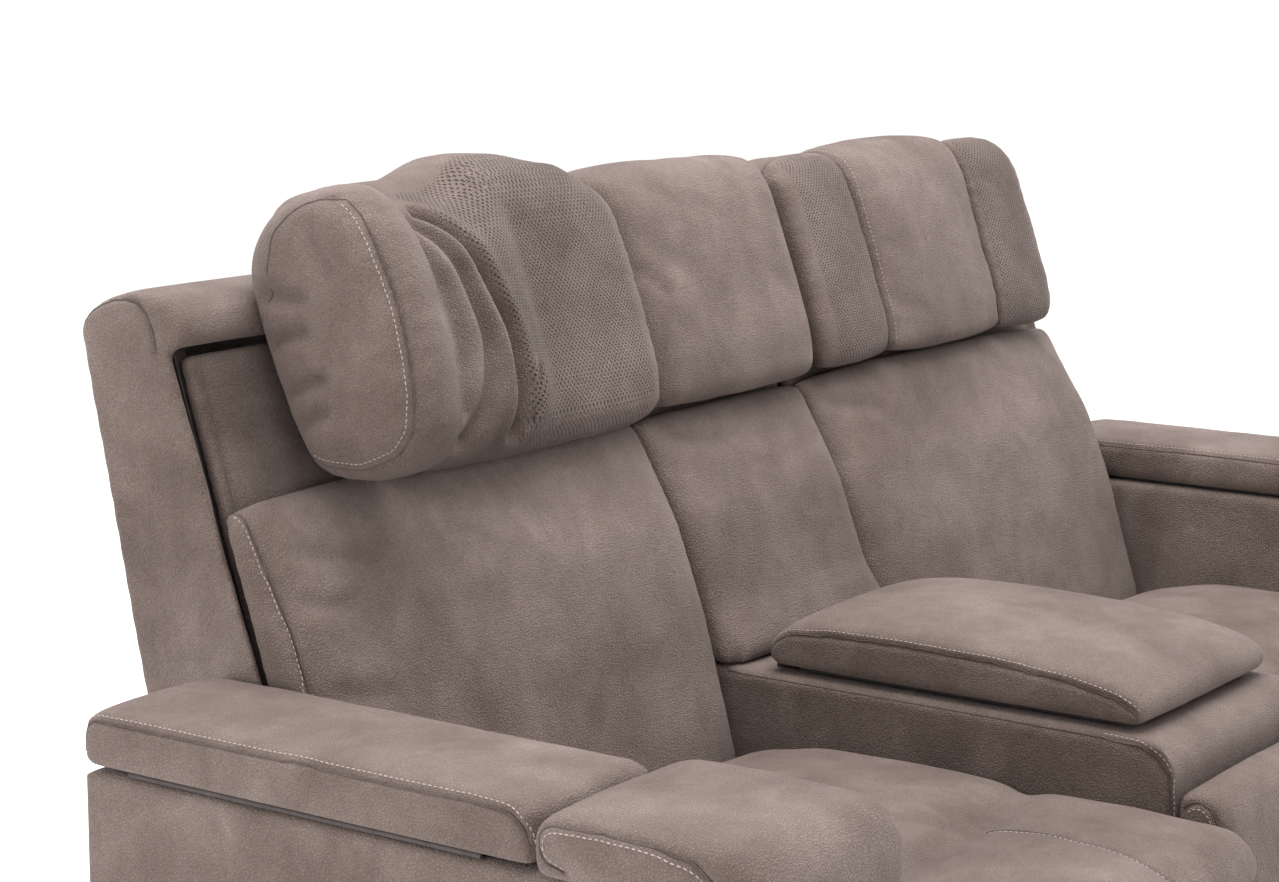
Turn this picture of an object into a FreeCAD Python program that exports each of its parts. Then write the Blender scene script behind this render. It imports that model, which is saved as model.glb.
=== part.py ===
import FreeCAD, Part
import math
import os

V = FreeCAD.Vector
os.makedirs("parts", exist_ok=True)

# Two-seat reclining sofa with a fixed console between the seats.
# Millimetres. +Z up, the sofa faces -Y, +X is the viewer's right when facing the sofa.
# Widths are given as distances from the middle plane X = 0; side s is -1 (left) or +1 (right).
# Depths are measured from a datum plane that lies Y0 in front of the middle of the depth.

Y0 = 80.0            # middle of the depth, from the datum
Y_FRONT = -427.5     # foremost face, the leg rests
Y_REAR = 587.5       # rearmost edge, the rear covers

# arms
ARM_IN = 862.0       # inner face
ARM_OUT = 1041.5     # outer face
ARM_Y0 = -343.0      # front of the arm frame
ARM_Y1 = 400.0       # rear of the arm
ARM_Z0 = 30.0
ARM_Z1 = 597.0       # deck of the arm
BOARD = 18.0
LID_Z0 = 603.0
LID_Z1 = 658.0
LID_Y0 = -137.0
PAD_IN, PAD_OUT = 838.0, 1062.0
PAD_FRONT = -388.0
PAD_REAR = -140.0
BIN_Y0, BIN_Y1 = -112.0, 372.0
BIN_X0, BIN_X1 = 890.0, 1006.0
BIN_Z0 = 390.0

# console
CON_W = 175.0
CON_Y0, CON_Y1 = -312.0, 255.0
CON_Z0, CON_Z1 = 62.0, 538.0
CLID_W = 163.0
CLID_Y0, CLID_Y1 = -264.0, 200.0
CLID_Z0, CLID_Z1 = 544.0, 600.0
CBIN_W = 128.0
CBIN_Y0, CBIN_Y1 = -236.0, 168.0
CBIN_Z0 = 330.0

# seats and backs
SEAT_IN, SEAT_OUT = 180.0, 856.0
BACK_IN, BACK_OUT = 179.0, 858.0
WING = 22.0          # thickness of the side wing of the back shell
PIVOT_Y, PIVOT_Z = 300.0, 345.0    # recline pivot
PIVOT_R = 6.0
RUN = 0.05           # radial running clearance
HEAD_Y, HEAD_Z = 385.0, 852.0      # headrest tilt axis
HEAD_ROD_R = 5.0
HEAD_LEAN = math.atan(0.354)
FOLD_DEG = 88.0      # how far a headrest wing folds
WING_AXIS_OUT, WING_AXIS_IN = 648.0, 355.0
WING_TIP_OUT, WING_TIP_IN = 824.0, 184.0
WING_AXIS_Y, WING_AXIS_Z = 371.2, 890.3

# leg rest linkage, pivots at rest
L0 = (-313.0, 285.0)
L1 = (-274.2, 140.1)
L2 = (-349.2, 270.0)
LEG_Z0, LEG_Z1 = 75.0, 392.0


def wing_front(z):
    return 342.0 + 0.365 * (z - 663.0)


def wing_rear(z):
    return 499.0 + 0.2071 * (z - 625.0)


def panel_front(z):
    return 408.0 + 0.3165 * (z - 824.0)


def box(s, xa, xb, ya, yb, za, zb):
    x0, x1 = (xa, xb) if s > 0 else (-xb, -xa)
    return Part.makeBox(x1 - x0, yb - ya, zb - za, V(x0, ya - Y0, za))


def prism(s, xa, xb, pts):
    x0, x1 = (xa, xb) if s > 0 else (-xb, -xa)
    poly = [V(x0, y - Y0, z) for y, z in pts]
    return Part.Face(Part.makePolygon(poly + [poly[0]])).extrude(V(x1 - x0, 0, 0))


def rod(s, xa, xb, y, z, r):
    x0, x1 = (xa, xb) if s > 0 else (-xb, -xa)
    return Part.makeCylinder(r, x1 - x0, V(x0, y - Y0, z), V(1, 0, 0))


def near(e, fn):
    c = e.CenterOfMass
    return fn(c.x, c.y + Y0, c.z)


def soften(shape, r, fn):
    edges = [e for e in shape.Edges if near(e, fn)]
    out = shape.makeFillet(r, edges)
    return out.Solids[0] if out.Solids else out


def all_round(shape, r):
    out = shape.makeFillet(r, shape.Edges)
    return out.Solids[0] if out.Solids else out


def group(*solids):
    return Part.makeCompound(list(solids))


parts = {}


def save(name, shape):
    parts[name] = shape


# ---------------------------------------------------------------- hinges
# Axis along x, lid plane at z = +3, deck plane at z = -3, leaves reach to -y.
def piano_hinge(length, count):
    step = length / count
    pin = Part.makeCylinder(1.5, length, V(-length / 2, 0, 0), V(1, 0, 0))
    fixed, moving = None, None
    for k in range(count):
        a = -length / 2 + k * step + 0.25
        w = step - 0.5
        tube = Part.makeCylinder(2.6, w, V(a, 0, 0), V(1, 0, 0))
        if k % 2 == 0:
            leaf = Part.makeBox(w, 22.5, 1.4, V(a, -22.5, -3.0))
            fixed = tube.fuse(leaf) if fixed is None else fixed.fuse(tube).fuse(leaf)
        else:
            leaf = Part.makeBox(w, 22.5, 1.4, V(a, -22.5, 1.6))
            moving = tube.fuse(leaf) if moving is None else moving.fuse(tube).fuse(leaf)
    fixed = fixed.fuse(Part.makeBox(length - 0.5, 19.0, 1.4, V(-length / 2 + 0.25, -22.5, -3.0)))
    moving = moving.fuse(Part.makeBox(length - 0.5, 19.0, 1.4, V(-length / 2 + 0.25, -22.5, 1.6)))
    hole = Part.makeCylinder(1.55, length + 2, V(-length / 2 - 1, 0, 0), V(1, 0, 0))
    fixed = fixed.cut(hole).removeSplitter()
    moving = moving.cut(hole).removeSplitter()
    return fixed, moving, pin


def place(shape, x, y, z, turn):
    out = shape.copy()
    out.Placement = FreeCAD.Placement(V(x, y - Y0, z), FreeCAD.Rotation(V(0, 0, 1), turn))
    return out


ARM_HINGE_X, ARM_HINGE_Z = 1038.5, 600.0
ARM_HINGE_Y = (LID_Y0 + ARM_Y1) / 2
CON_HINGE_Y, CON_HINGE_Z = CLID_Y1 + 3.5, 541.0
fixed_leaves, pins = [], []
f, m, p = piano_hinge(420.0, 7)
for s, name in ((-1, "left"), (1, "right")):
    turn = 90.0 if s < 0 else -90.0
    at = (s * ARM_HINGE_X, ARM_HINGE_Y, ARM_HINGE_Z, turn)
    fixed_leaves.append(place(f, *at))
    pins.append(place(p, *at))
    save("arm_lid_leaf_" + name, place(m, *at))
f, m, p = piano_hinge(280.0, 5)
at = (0.0, CON_HINGE_Y, CON_HINGE_Z, 0.0)
fixed_leaves.append(place(f, *at))
pins.append(place(p, *at))
save("console_lid_leaf", place(m, *at))
save("hinge_fixed_leaves", group(*fixed_leaves))
save("hinge_pins", group(*pins))

# ---------------------------------------------------------------- base
tubes = [
    box(1, -860.0, 860.0, -338.0, -308.0, 30.0, 60.0),
    box(1, -860.0, 860.0, 212.0, 242.0, 30.0, 60.0),
]
for s in (-1, 1):
    for xa in (150.0, 816.0):
        tubes.append(box(s, xa, xa + 30.0, -308.0, 212.0, 30.0, 60.0))
save("base_frame", group(*tubes))

feet = []
for s in (-1, 1):
    for x in (165.0, 831.0, 952.0):
        for y in ((-323.0, 227.0) if x < 900 else (-318.0, 372.0)):
            foot = Part.makeCone(19.0, 24.0, 30.0, V(s * x, y - Y0, 0), V(0, 0, 1))
            feet.append(foot)
save("feet", group(*feet))

rails = []
for s in (-1, 1):
    for xc in (199.0, 839.0):
        bar = box(s, xc - 10.0, xc + 10.0, -330.0, 236.0, 60.0, 116.0)
        groove = box(s, xc - 4.0, xc + 4.0, -400.0, 300.0, 104.0, 120.0)
        rails.append(bar.cut(groove))
save("slide_rails", group(*rails))

inlet = box(1, 300.0, 334.0, 242.0, 262.0, 34.0, 56.0)
inlet = inlet.cut(box(1, 308.0, 326.0, 249.0, 270.0, 40.0, 50.0))
save("power_inlet", inlet)
control = soften(box(1, 180.0, 270.0, 60.0, 180.0, 32.0, 58.0), 3.0, lambda x, y, z: x > 269.0)
save("control_box", control)

# ---------------------------------------------------------------- arms
SW_Y, SW_Z = (-275.0, -222.0), 545.0     # rocker switches on the inner face
bins, plates = [], []
for s, name in ((-1, "left"), (1, "right")):
    outer = box(s, ARM_OUT - BOARD, ARM_OUT, ARM_Y0, ARM_Y1, ARM_Z0, ARM_Z1)
    inner = box(s, ARM_IN, ARM_IN + BOARD, ARM_Y0, ARM_Y1, ARM_Z0, ARM_Z1)
    for y in SW_Y:
        inner = inner.cut(box(s, ARM_IN - 1, ARM_IN + 12.5, y - 20.5, y + 20.5, SW_Z - 12.5, SW_Z + 12.5))
    xa, xb = ARM_IN + BOARD, ARM_OUT - BOARD
    front = box(s, xa, xb, ARM_Y0, ARM_Y0 + BOARD, ARM_Z0, ARM_Z1)
    rear = box(s, xa, xb, ARM_Y1 - BOARD, ARM_Y1, ARM_Z0, ARM_Z1)
    deck = [
        box(s, xa, xb, ARM_Y0 + BOARD, BIN_Y0, ARM_Z1 - BOARD, ARM_Z1),
        box(s, xa, BIN_X0, BIN_Y0, BIN_Y1, ARM_Z1 - BOARD, ARM_Z1),
        box(s, BIN_X1, xb, BIN_Y0, BIN_Y1, ARM_Z1 - BOARD, ARM_Z1),
        box(s, xa, xb, BIN_Y1, ARM_Y1 - BOARD, ARM_Z1 - BOARD, ARM_Z1),
    ]
    save("arm_frame_" + name, group(outer, inner, front, rear, *deck))

    b = box(s, BIN_X0, BIN_X1, BIN_Y0, BIN_Y1, BIN_Z0, ARM_Z1)
    b = b.fuse(box(s, BIN_X0 - 8.0, BIN_X1 + 8.0, BIN_Y0 - 8.0, BIN_Y1 + 8.0, ARM_Z1, ARM_Z1 + 2.0))
    b = b.cut(box(s, BIN_X0 + 4.0, BIN_X1 - 4.0, BIN_Y0 + 4.0, BIN_Y1 - 4.0, BIN_Z0 + 4.0, ARM_Z1 + 10.0))
    bins.append(b)

    lid = box(s, 864.0, 1036.0, LID_Y0, ARM_Y1, LID_Z0, LID_Z1)
    lid = soften(lid, 14.0, lambda x, y, z: z > LID_Z1 - 1)
    save("arm_lid_" + name, lid)

    top = box(s, PAD_IN, PAD_OUT, PAD_FRONT, PAD_REAR, ARM_Z1, LID_Z1 - 2.0)
    drop = box(s, PAD_IN, PAD_OUT, PAD_FRONT, ARM_Y0, 560.0, ARM_Z1)
    pad = top.fuse(drop).removeSplitter()
    pad = soften(pad, 50.0, lambda x, y, z: z > LID_Z1 - 3 and y < PAD_FRONT + 1)
    pad = pad.fuse(box(s, 864.0, PAD_OUT, PAD_FRONT, ARM_Y0, 60.0, 560.0))
    save("arm_pad_" + name, pad)

    # bezel with two windows and cheeks behind it, and the rockers in it
    plate = box(s, ARM_IN - 3.0, ARM_IN, SW_Y[0] - 24.0, SW_Y[1] + 24.0, SW_Z - 16.0, SW_Z + 16.0)
    for k, y in enumerate(SW_Y):
        cheek = box(s, ARM_IN, ARM_IN + 11.0, y - 20.0, y + 20.0, SW_Z - 12.0, SW_Z + 12.0)
        plate = plate.fuse(cheek)
    for k, y in enumerate(SW_Y):
        plate = plate.cut(box(s, ARM_IN - 4.0, ARM_IN + 12.0, y - 17.0, y + 17.0, SW_Z - 9.0, SW_Z + 9.0))
        plate = plate.cut(Part.makeCylinder(1.56, 30.0, V(s * (ARM_IN + 4.0), y - Y0, SW_Z - 15.0), V(0, 0, 1)))
        rocker = box(s, ARM_IN - 4.5, ARM_IN + 7.0, y - 15.0, y + 15.0, SW_Z - 8.0, SW_Z + 8.0)
        rocker = soften(rocker, 1.5, lambda x, yy, z: abs(x) < ARM_IN - 4.4)
        rocker = rocker.fuse(Part.makeCylinder(1.5, 23.0, V(s * (ARM_IN + 4.0), y - Y0, SW_Z - 11.5), V(0, 0, 1)))
        save(("recline_rocker_", "headrest_rocker_")[k] + name, rocker)
    plates.append(plate)
save("arm_bins", group(*bins))
save("switch_bezels", group(*plates))

# ---------------------------------------------------------------- console
sides = [
    box(-1, CON_W - BOARD, CON_W, CON_Y0, CON_Y1, CON_Z0, CON_Z1),
    box(1, CON_W - BOARD, CON_W, CON_Y0, CON_Y1, CON_Z0, CON_Z1),
]
w = CON_W - BOARD
ends = [
    box(1, -w, w, CON_Y0, CON_Y0 + BOARD, CON_Z0, CON_Z1),
    box(1, -w, w, CON_Y1 - BOARD, CON_Y1, CON_Z0, CON_Z1),
]
deck = [
    box(1, -w, w, CON_Y0 + BOARD, CBIN_Y0, CON_Z1 - BOARD, CON_Z1),
    box(1, -w, w, CBIN_Y1, CON_Y1 - BOARD, CON_Z1 - BOARD, CON_Z1),
    box(-1, CBIN_W, w, CBIN_Y0, CBIN_Y1, CON_Z1 - BOARD, CON_Z1),
    box(1, CBIN_W, w, CBIN_Y0, CBIN_Y1, CON_Z1 - BOARD, CON_Z1),
]
save("console_box", group(*sides, *ends, *deck))

b = box(1, -CBIN_W, CBIN_W, CBIN_Y0, CBIN_Y1, CBIN_Z0, CON_Z1)
b = b.fuse(box(1, -CBIN_W - 10.0, CBIN_W + 10.0, CBIN_Y0 - 10.0, CBIN_Y1 + 8.0, CON_Z1, CON_Z1 + 4.0))
b = b.cut(box(1, -CBIN_W + 4.0, CBIN_W - 4.0, CBIN_Y0 + 4.0, CBIN_Y1 - 4.0, CBIN_Z0 + 4.0, CON_Z1 + 10.0))
save("console_bin", b)

lid = box(1, -CLID_W, CLID_W, CLID_Y0, CLID_Y1, CLID_Z0, CLID_Z1)
lid = soften(lid, 22.0, lambda x, y, z: z > CLID_Z1 - 1)
save("console_lid", lid)

front_pad = prism(1, -CON_W - 1.0, CON_W + 1.0, [
    (CON_Y0, 75.0), (CON_Y0, 486.0), (-348.0, 492.0), (-372.0, 474.0), (-391.0, 420.0),
    (-404.0, 340.0), (-410.0, 200.0), (-410.0, 75.0)])
save("console_front_pad", front_pad)

# ---------------------------------------------------------------- backs
ROLL = [(444.0, 971.0), (443.5, 985.0), (451.0, 1004.0), (474.0, 1021.0), (512.0, 1027.0),
        (550.0, 1012.0), (571.0, 990.0), (wing_rear(966.0), 966.0), (452.0, 966.0)]
LUMBAR = [(401.0, 812.0), (367.0, 812.0), (307.0, 700.0), (262.0, 600.0), (246.0, 520.0),
          (224.0, 430.0), (221.0, 397.0), (270.0, 397.0)]
LUMBAR_MID = [(401.0, 812.0), (367.0, 812.0), (309.0, 700.0), (272.0, 600.0), (262.0, 546.0), (317.0, 546.0)]
HEAD = [(341.0, 848.0), (358.0, 895.0), (419.0, 1068.0), (440.0, 1097.0), (472.0, 1105.0),
        (518.0, 1093.0), (530.0, 1064.0), (522.0, 1039.0), (446.0, 1036.0), (438.5, 1004.0),
        (436.0, 968.0), (440.0, 944.0), (411.0, 846.0)]


def panel(s, xa, xb, z0, z1):
    return prism(s, xa, xb, [(panel_front(z0), z0), (panel_front(z1), z1),
                             (panel_front(z1) + 20.0, z1), (panel_front(z0) + 20.0, z0)])


def rear_cover(s, xa, xb, z0, z1):
    return prism(s, xa, xb, [(wing_rear(z0), z0), (wing_rear(z1), z1), (Y_REAR, z1), (Y_REAR, z1 - 6.0),
                             (wing_rear(z0) + 12.0, z0)])


u = V(0, math.sin(HEAD_LEAN), math.cos(HEAD_LEAN))
back_dir = V(0, math.cos(HEAD_LEAN), -math.sin(HEAD_LEAN))


def axis_point(s, x, along):
    return V(s * x, WING_AXIS_Y - Y0, WING_AXIS_Z) + u * along


def lean_box(s, xa, xb, b0, b1, u0, u1):
    # xa < xb from the middle plane, b behind the wing axis, u along the lean
    x0, x1 = (xa, xb) if s > 0 else (-xb, -xa)
    o = V(x0, WING_AXIS_Y - Y0, WING_AXIS_Z) + back_dir * b0 + u * u0
    pts = [o, o + back_dir * (b1 - b0), o + back_dir * (b1 - b0) + u * (u1 - u0), o + u * (u1 - u0)]
    return Part.Face(Part.makePolygon(pts + [pts[0]])).extrude(V(x1 - x0, 0, 0))


def hinge_bevel(s, x, toward):
    # wedge in front of the wing axis at distance x, opening to +toward (away from the middle) or -toward
    tri = [(3.0 * toward, 0.5), (40.0 * toward, -36.5), (-40.0 * toward, -36.5), (-40.0 * toward, 0.5)]
    pts = [V(s * (x + a), WING_AXIS_Y - Y0, WING_AXIS_Z) + back_dir * b - u * 120.0 for a, b in tri]
    return Part.Face(Part.makePolygon(pts + [pts[0]])).extrude(u * 420.0)


def rounded_outline(s, axis_x, tip_x, toward):
    # seen square to the pad: u along the lean, the two corners at the tip rounded off
    r_top, r_low, u_top, u_low = 75.0, 45.0, 216.0, -62.0
    far, near_x = tip_x, axis_x - 6.0 * toward

    def at(x, uu):
        return V(s * x, WING_AXIS_Y - Y0, WING_AXIS_Z) + u * uu - back_dir * 60.0

    c = math.sqrt(0.5)
    p = [at(near_x, u_low), at(far - r_low * toward, u_low), at(far - r_low * (1 - c) * toward, u_low + r_low * (1 - c)),
         at(far, u_low + r_low), at(far, u_top - r_top), at(far - r_top * (1 - c) * toward, u_top - r_top * (1 - c)),
         at(far - r_top * toward, u_top), at(near_x, u_top)]
    edges = [Part.makeLine(p[0], p[1]), Part.Arc(p[1], p[2], p[3]).toShape(), Part.makeLine(p[3], p[4]),
             Part.Arc(p[4], p[5], p[6]).toShape(), Part.makeLine(p[6], p[7]), Part.makeLine(p[7], p[0])]
    return Part.Face(Part.Wire(edges)).extrude(back_dir * 260.0)


def wing(s, axis_x, tip_x):
    toward = 1.0 if tip_x > axis_x else -1.0
    a, b = sorted((axis_x + 3.0 * toward, tip_x))
    w = prism(s, a, b, HEAD).common(rounded_outline(s, axis_x, tip_x, toward))
    w = w.cut(hinge_bevel(s, axis_x, toward))
    w = w.cut(Part.makeCylinder(7.0, 420.0, axis_point(s, axis_x, -120.0), u))
    sleeve = Part.makeCylinder(5.0, 80.0, axis_point(s, axis_x, 30.0), u)
    web_a, web_b = sorted((axis_x, axis_x + 12.0 * toward))
    sleeve = sleeve.fuse(lean_box(s, web_a, web_b, 0.5, 3.5, 30.0, 110.0))
    w = w.fuse(sleeve).removeSplitter()
    w = w.cut(Part.makeCylinder(3.0 + RUN, 420.0, axis_point(s, axis_x, -120.0), u))
    return w


def wing_pin(s, axis_x, toward):
    pin = Part.makeCylinder(3.0, 104.0, axis_point(s, axis_x, 18.0), u)
    for k in (18.0, 112.0):
        a, b = sorted((axis_x, axis_x - 24.0 * toward))
        pin = pin.fuse(lean_box(s, a, b, -1.5, 1.5, k, k + 10.0))
    return pin.removeSplitter()


for s, name in ((-1, "left"), (1, "right")):
    wing_pts = [(wing_front(400.0), 400.0), (wing_front(968.0), 968.0), (456.5, 984.0), (463.0, 1000.0),
                (478.0, 1016.0), (500.0, 1025.0), (525.0, 1024.0), (550.0, 1013.0), (568.0, 995.0),
                (wing_rear(985.0), 985.0), (wing_rear(400.0), 400.0)]
    boards = [
        prism(s, BACK_OUT - WING, BACK_OUT, wing_pts),
        panel(s, BACK_IN + 3.0, BACK_OUT - WING - 2.0, 374.0, 962.0),
        prism(s, BACK_IN, BACK_OUT - WING, ROLL),
    ]
    # uprights behind the panel
    for xa, xb in ((BACK_IN + 3.0, BACK_IN + 21.0), (BACK_OUT - WING - 20.0, BACK_OUT - WING - 2.0)):
        boards.append(prism(s, xa, xb, [
            (panel_front(374.0) + 20.0, 374.0), (panel_front(962.0) + 20.0, 962.0), (475.0, 966.0),
            (wing_rear(966.0), 966.0), (wing_rear(374.0), 374.0)]))
    boards.append(box(s, BACK_IN + 21.0, BACK_OUT - WING - 20.0, 300.0, 330.0, 374.0, 404.0))
    # pivot plates
    for xa in (BACK_IN + 24.0, BACK_OUT - WING - 8.0):
        plate = prism(s, xa, xa + 5.0, [
            (286.0, 345.0), (287.0, 340.0), (292.0, 333.0), (300.0, 331.0), (308.0, 333.0), (313.0, 340.0),
            (314.0, 374.0), (290.0, 374.0), (286.0, 352.0)])
        plate = plate.cut(rod(s, xa - 1.0, xa + 6.0, PIVOT_Y, PIVOT_Z, PIVOT_R + RUN))
        boards.append(plate)
    # ears that hold the headrest rod
    for xa in (430.0, 568.0):
        ear = prism(s, xa, xa + 5.0, [
            (376.0, 858.0), (375.0, 850.0), (378.0, 844.0), (385.0, 842.0), (panel_front(838.0), 838.0),
            (panel_front(864.0), 864.0), (392.0, 862.0), (385.0, 862.0)])
        ear = ear.cut(rod(s, xa - 1.0, xa + 6.0, HEAD_Y, HEAD_Z, HEAD_ROD_R + RUN))
        boards.append(ear)
    save("back_frame_" + name, group(*boards))
    save("rear_cover_" + name, rear_cover(s, BACK_IN, BACK_OUT, 200.0, 984.0))
    save("back_cushion_" + name, soften(prism(s, BACK_IN + 2.0, BACK_OUT - WING - 2.0, LUMBAR),
         12.0, lambda x, y, z: z > 811.0 and 366.0 < y < 368.0))

    # headrest middle section with notches for the ears
    pad = prism(s, WING_AXIS_IN + 3.0, WING_AXIS_OUT - 3.0, HEAD)
    pad = pad.cut(hinge_bevel(s, WING_AXIS_OUT, -1.0)).cut(hinge_bevel(s, WING_AXIS_IN, 1.0))
    for x in (WING_AXIS_OUT, WING_AXIS_IN):
        pad = pad.cut(Part.makeCylinder(7.0, 420.0, axis_point(s, x, -120.0), u))
    for xa in (430.0, 568.0):
        pad = pad.cut(box(s, xa - 5.0, xa + 10.0, 366.0, 430.0, 830.0, 884.0))
    pad = pad.cut(rod(s, 380.0, 620.0, HEAD_Y, HEAD_Z, HEAD_ROD_R))
    for x, t in ((WING_AXIS_OUT, 1.0), (WING_AXIS_IN, -1.0)):
        for k in (18.0, 112.0):
            a, b = sorted((x, x - 24.0 * t))
            pad = pad.cut(lean_box(s, a, b, -1.5, 1.5, k, k + 10.0))
    save("headrest_" + name, pad)
    save("headrest_rods_" + name, group(
        rod(s, 380.0, 620.0, HEAD_Y, HEAD_Z, HEAD_ROD_R),
        wing_pin(s, WING_AXIS_OUT, 1.0), wing_pin(s, WING_AXIS_IN, -1.0)))

    outer = wing(s, WING_AXIS_OUT, WING_TIP_OUT)
    if s < 0:
        # folded forward on this side
        outer.rotate(axis_point(s, WING_AXIS_OUT, 0.0), u, FOLD_DEG)
    save("headrest_wing_outer_" + name, outer)
    save("headrest_wing_inner_" + name, wing(s, WING_AXIS_IN, WING_TIP_IN))

# fixed middle back
boards = [
    panel(1, -171.0, 171.0, 548.0, 962.0),
    prism(1, -173.0, 173.0, ROLL),
]
for s in (-1, 1):
    boards.append(prism(s, 153.0, 171.0, [
        (panel_front(548.0) + 20.0, 548.0), (panel_front(962.0) + 20.0, 962.0), (475.0, 966.0),
        (wing_rear(966.0), 966.0), (wing_rear(62.0), 62.0), (258.0, 62.0), (258.0, 540.0), (320.0, 540.0)]))
save("centre_back_frame", group(*boards))
save("centre_rear_cover", rear_cover(1, -173.0, 173.0, 62.0, 984.0))
save("centre_back_cushion", prism(1, -173.0, 173.0, LUMBAR_MID))
save("centre_headrest", prism(1, -174.0, 174.0, HEAD))

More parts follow.
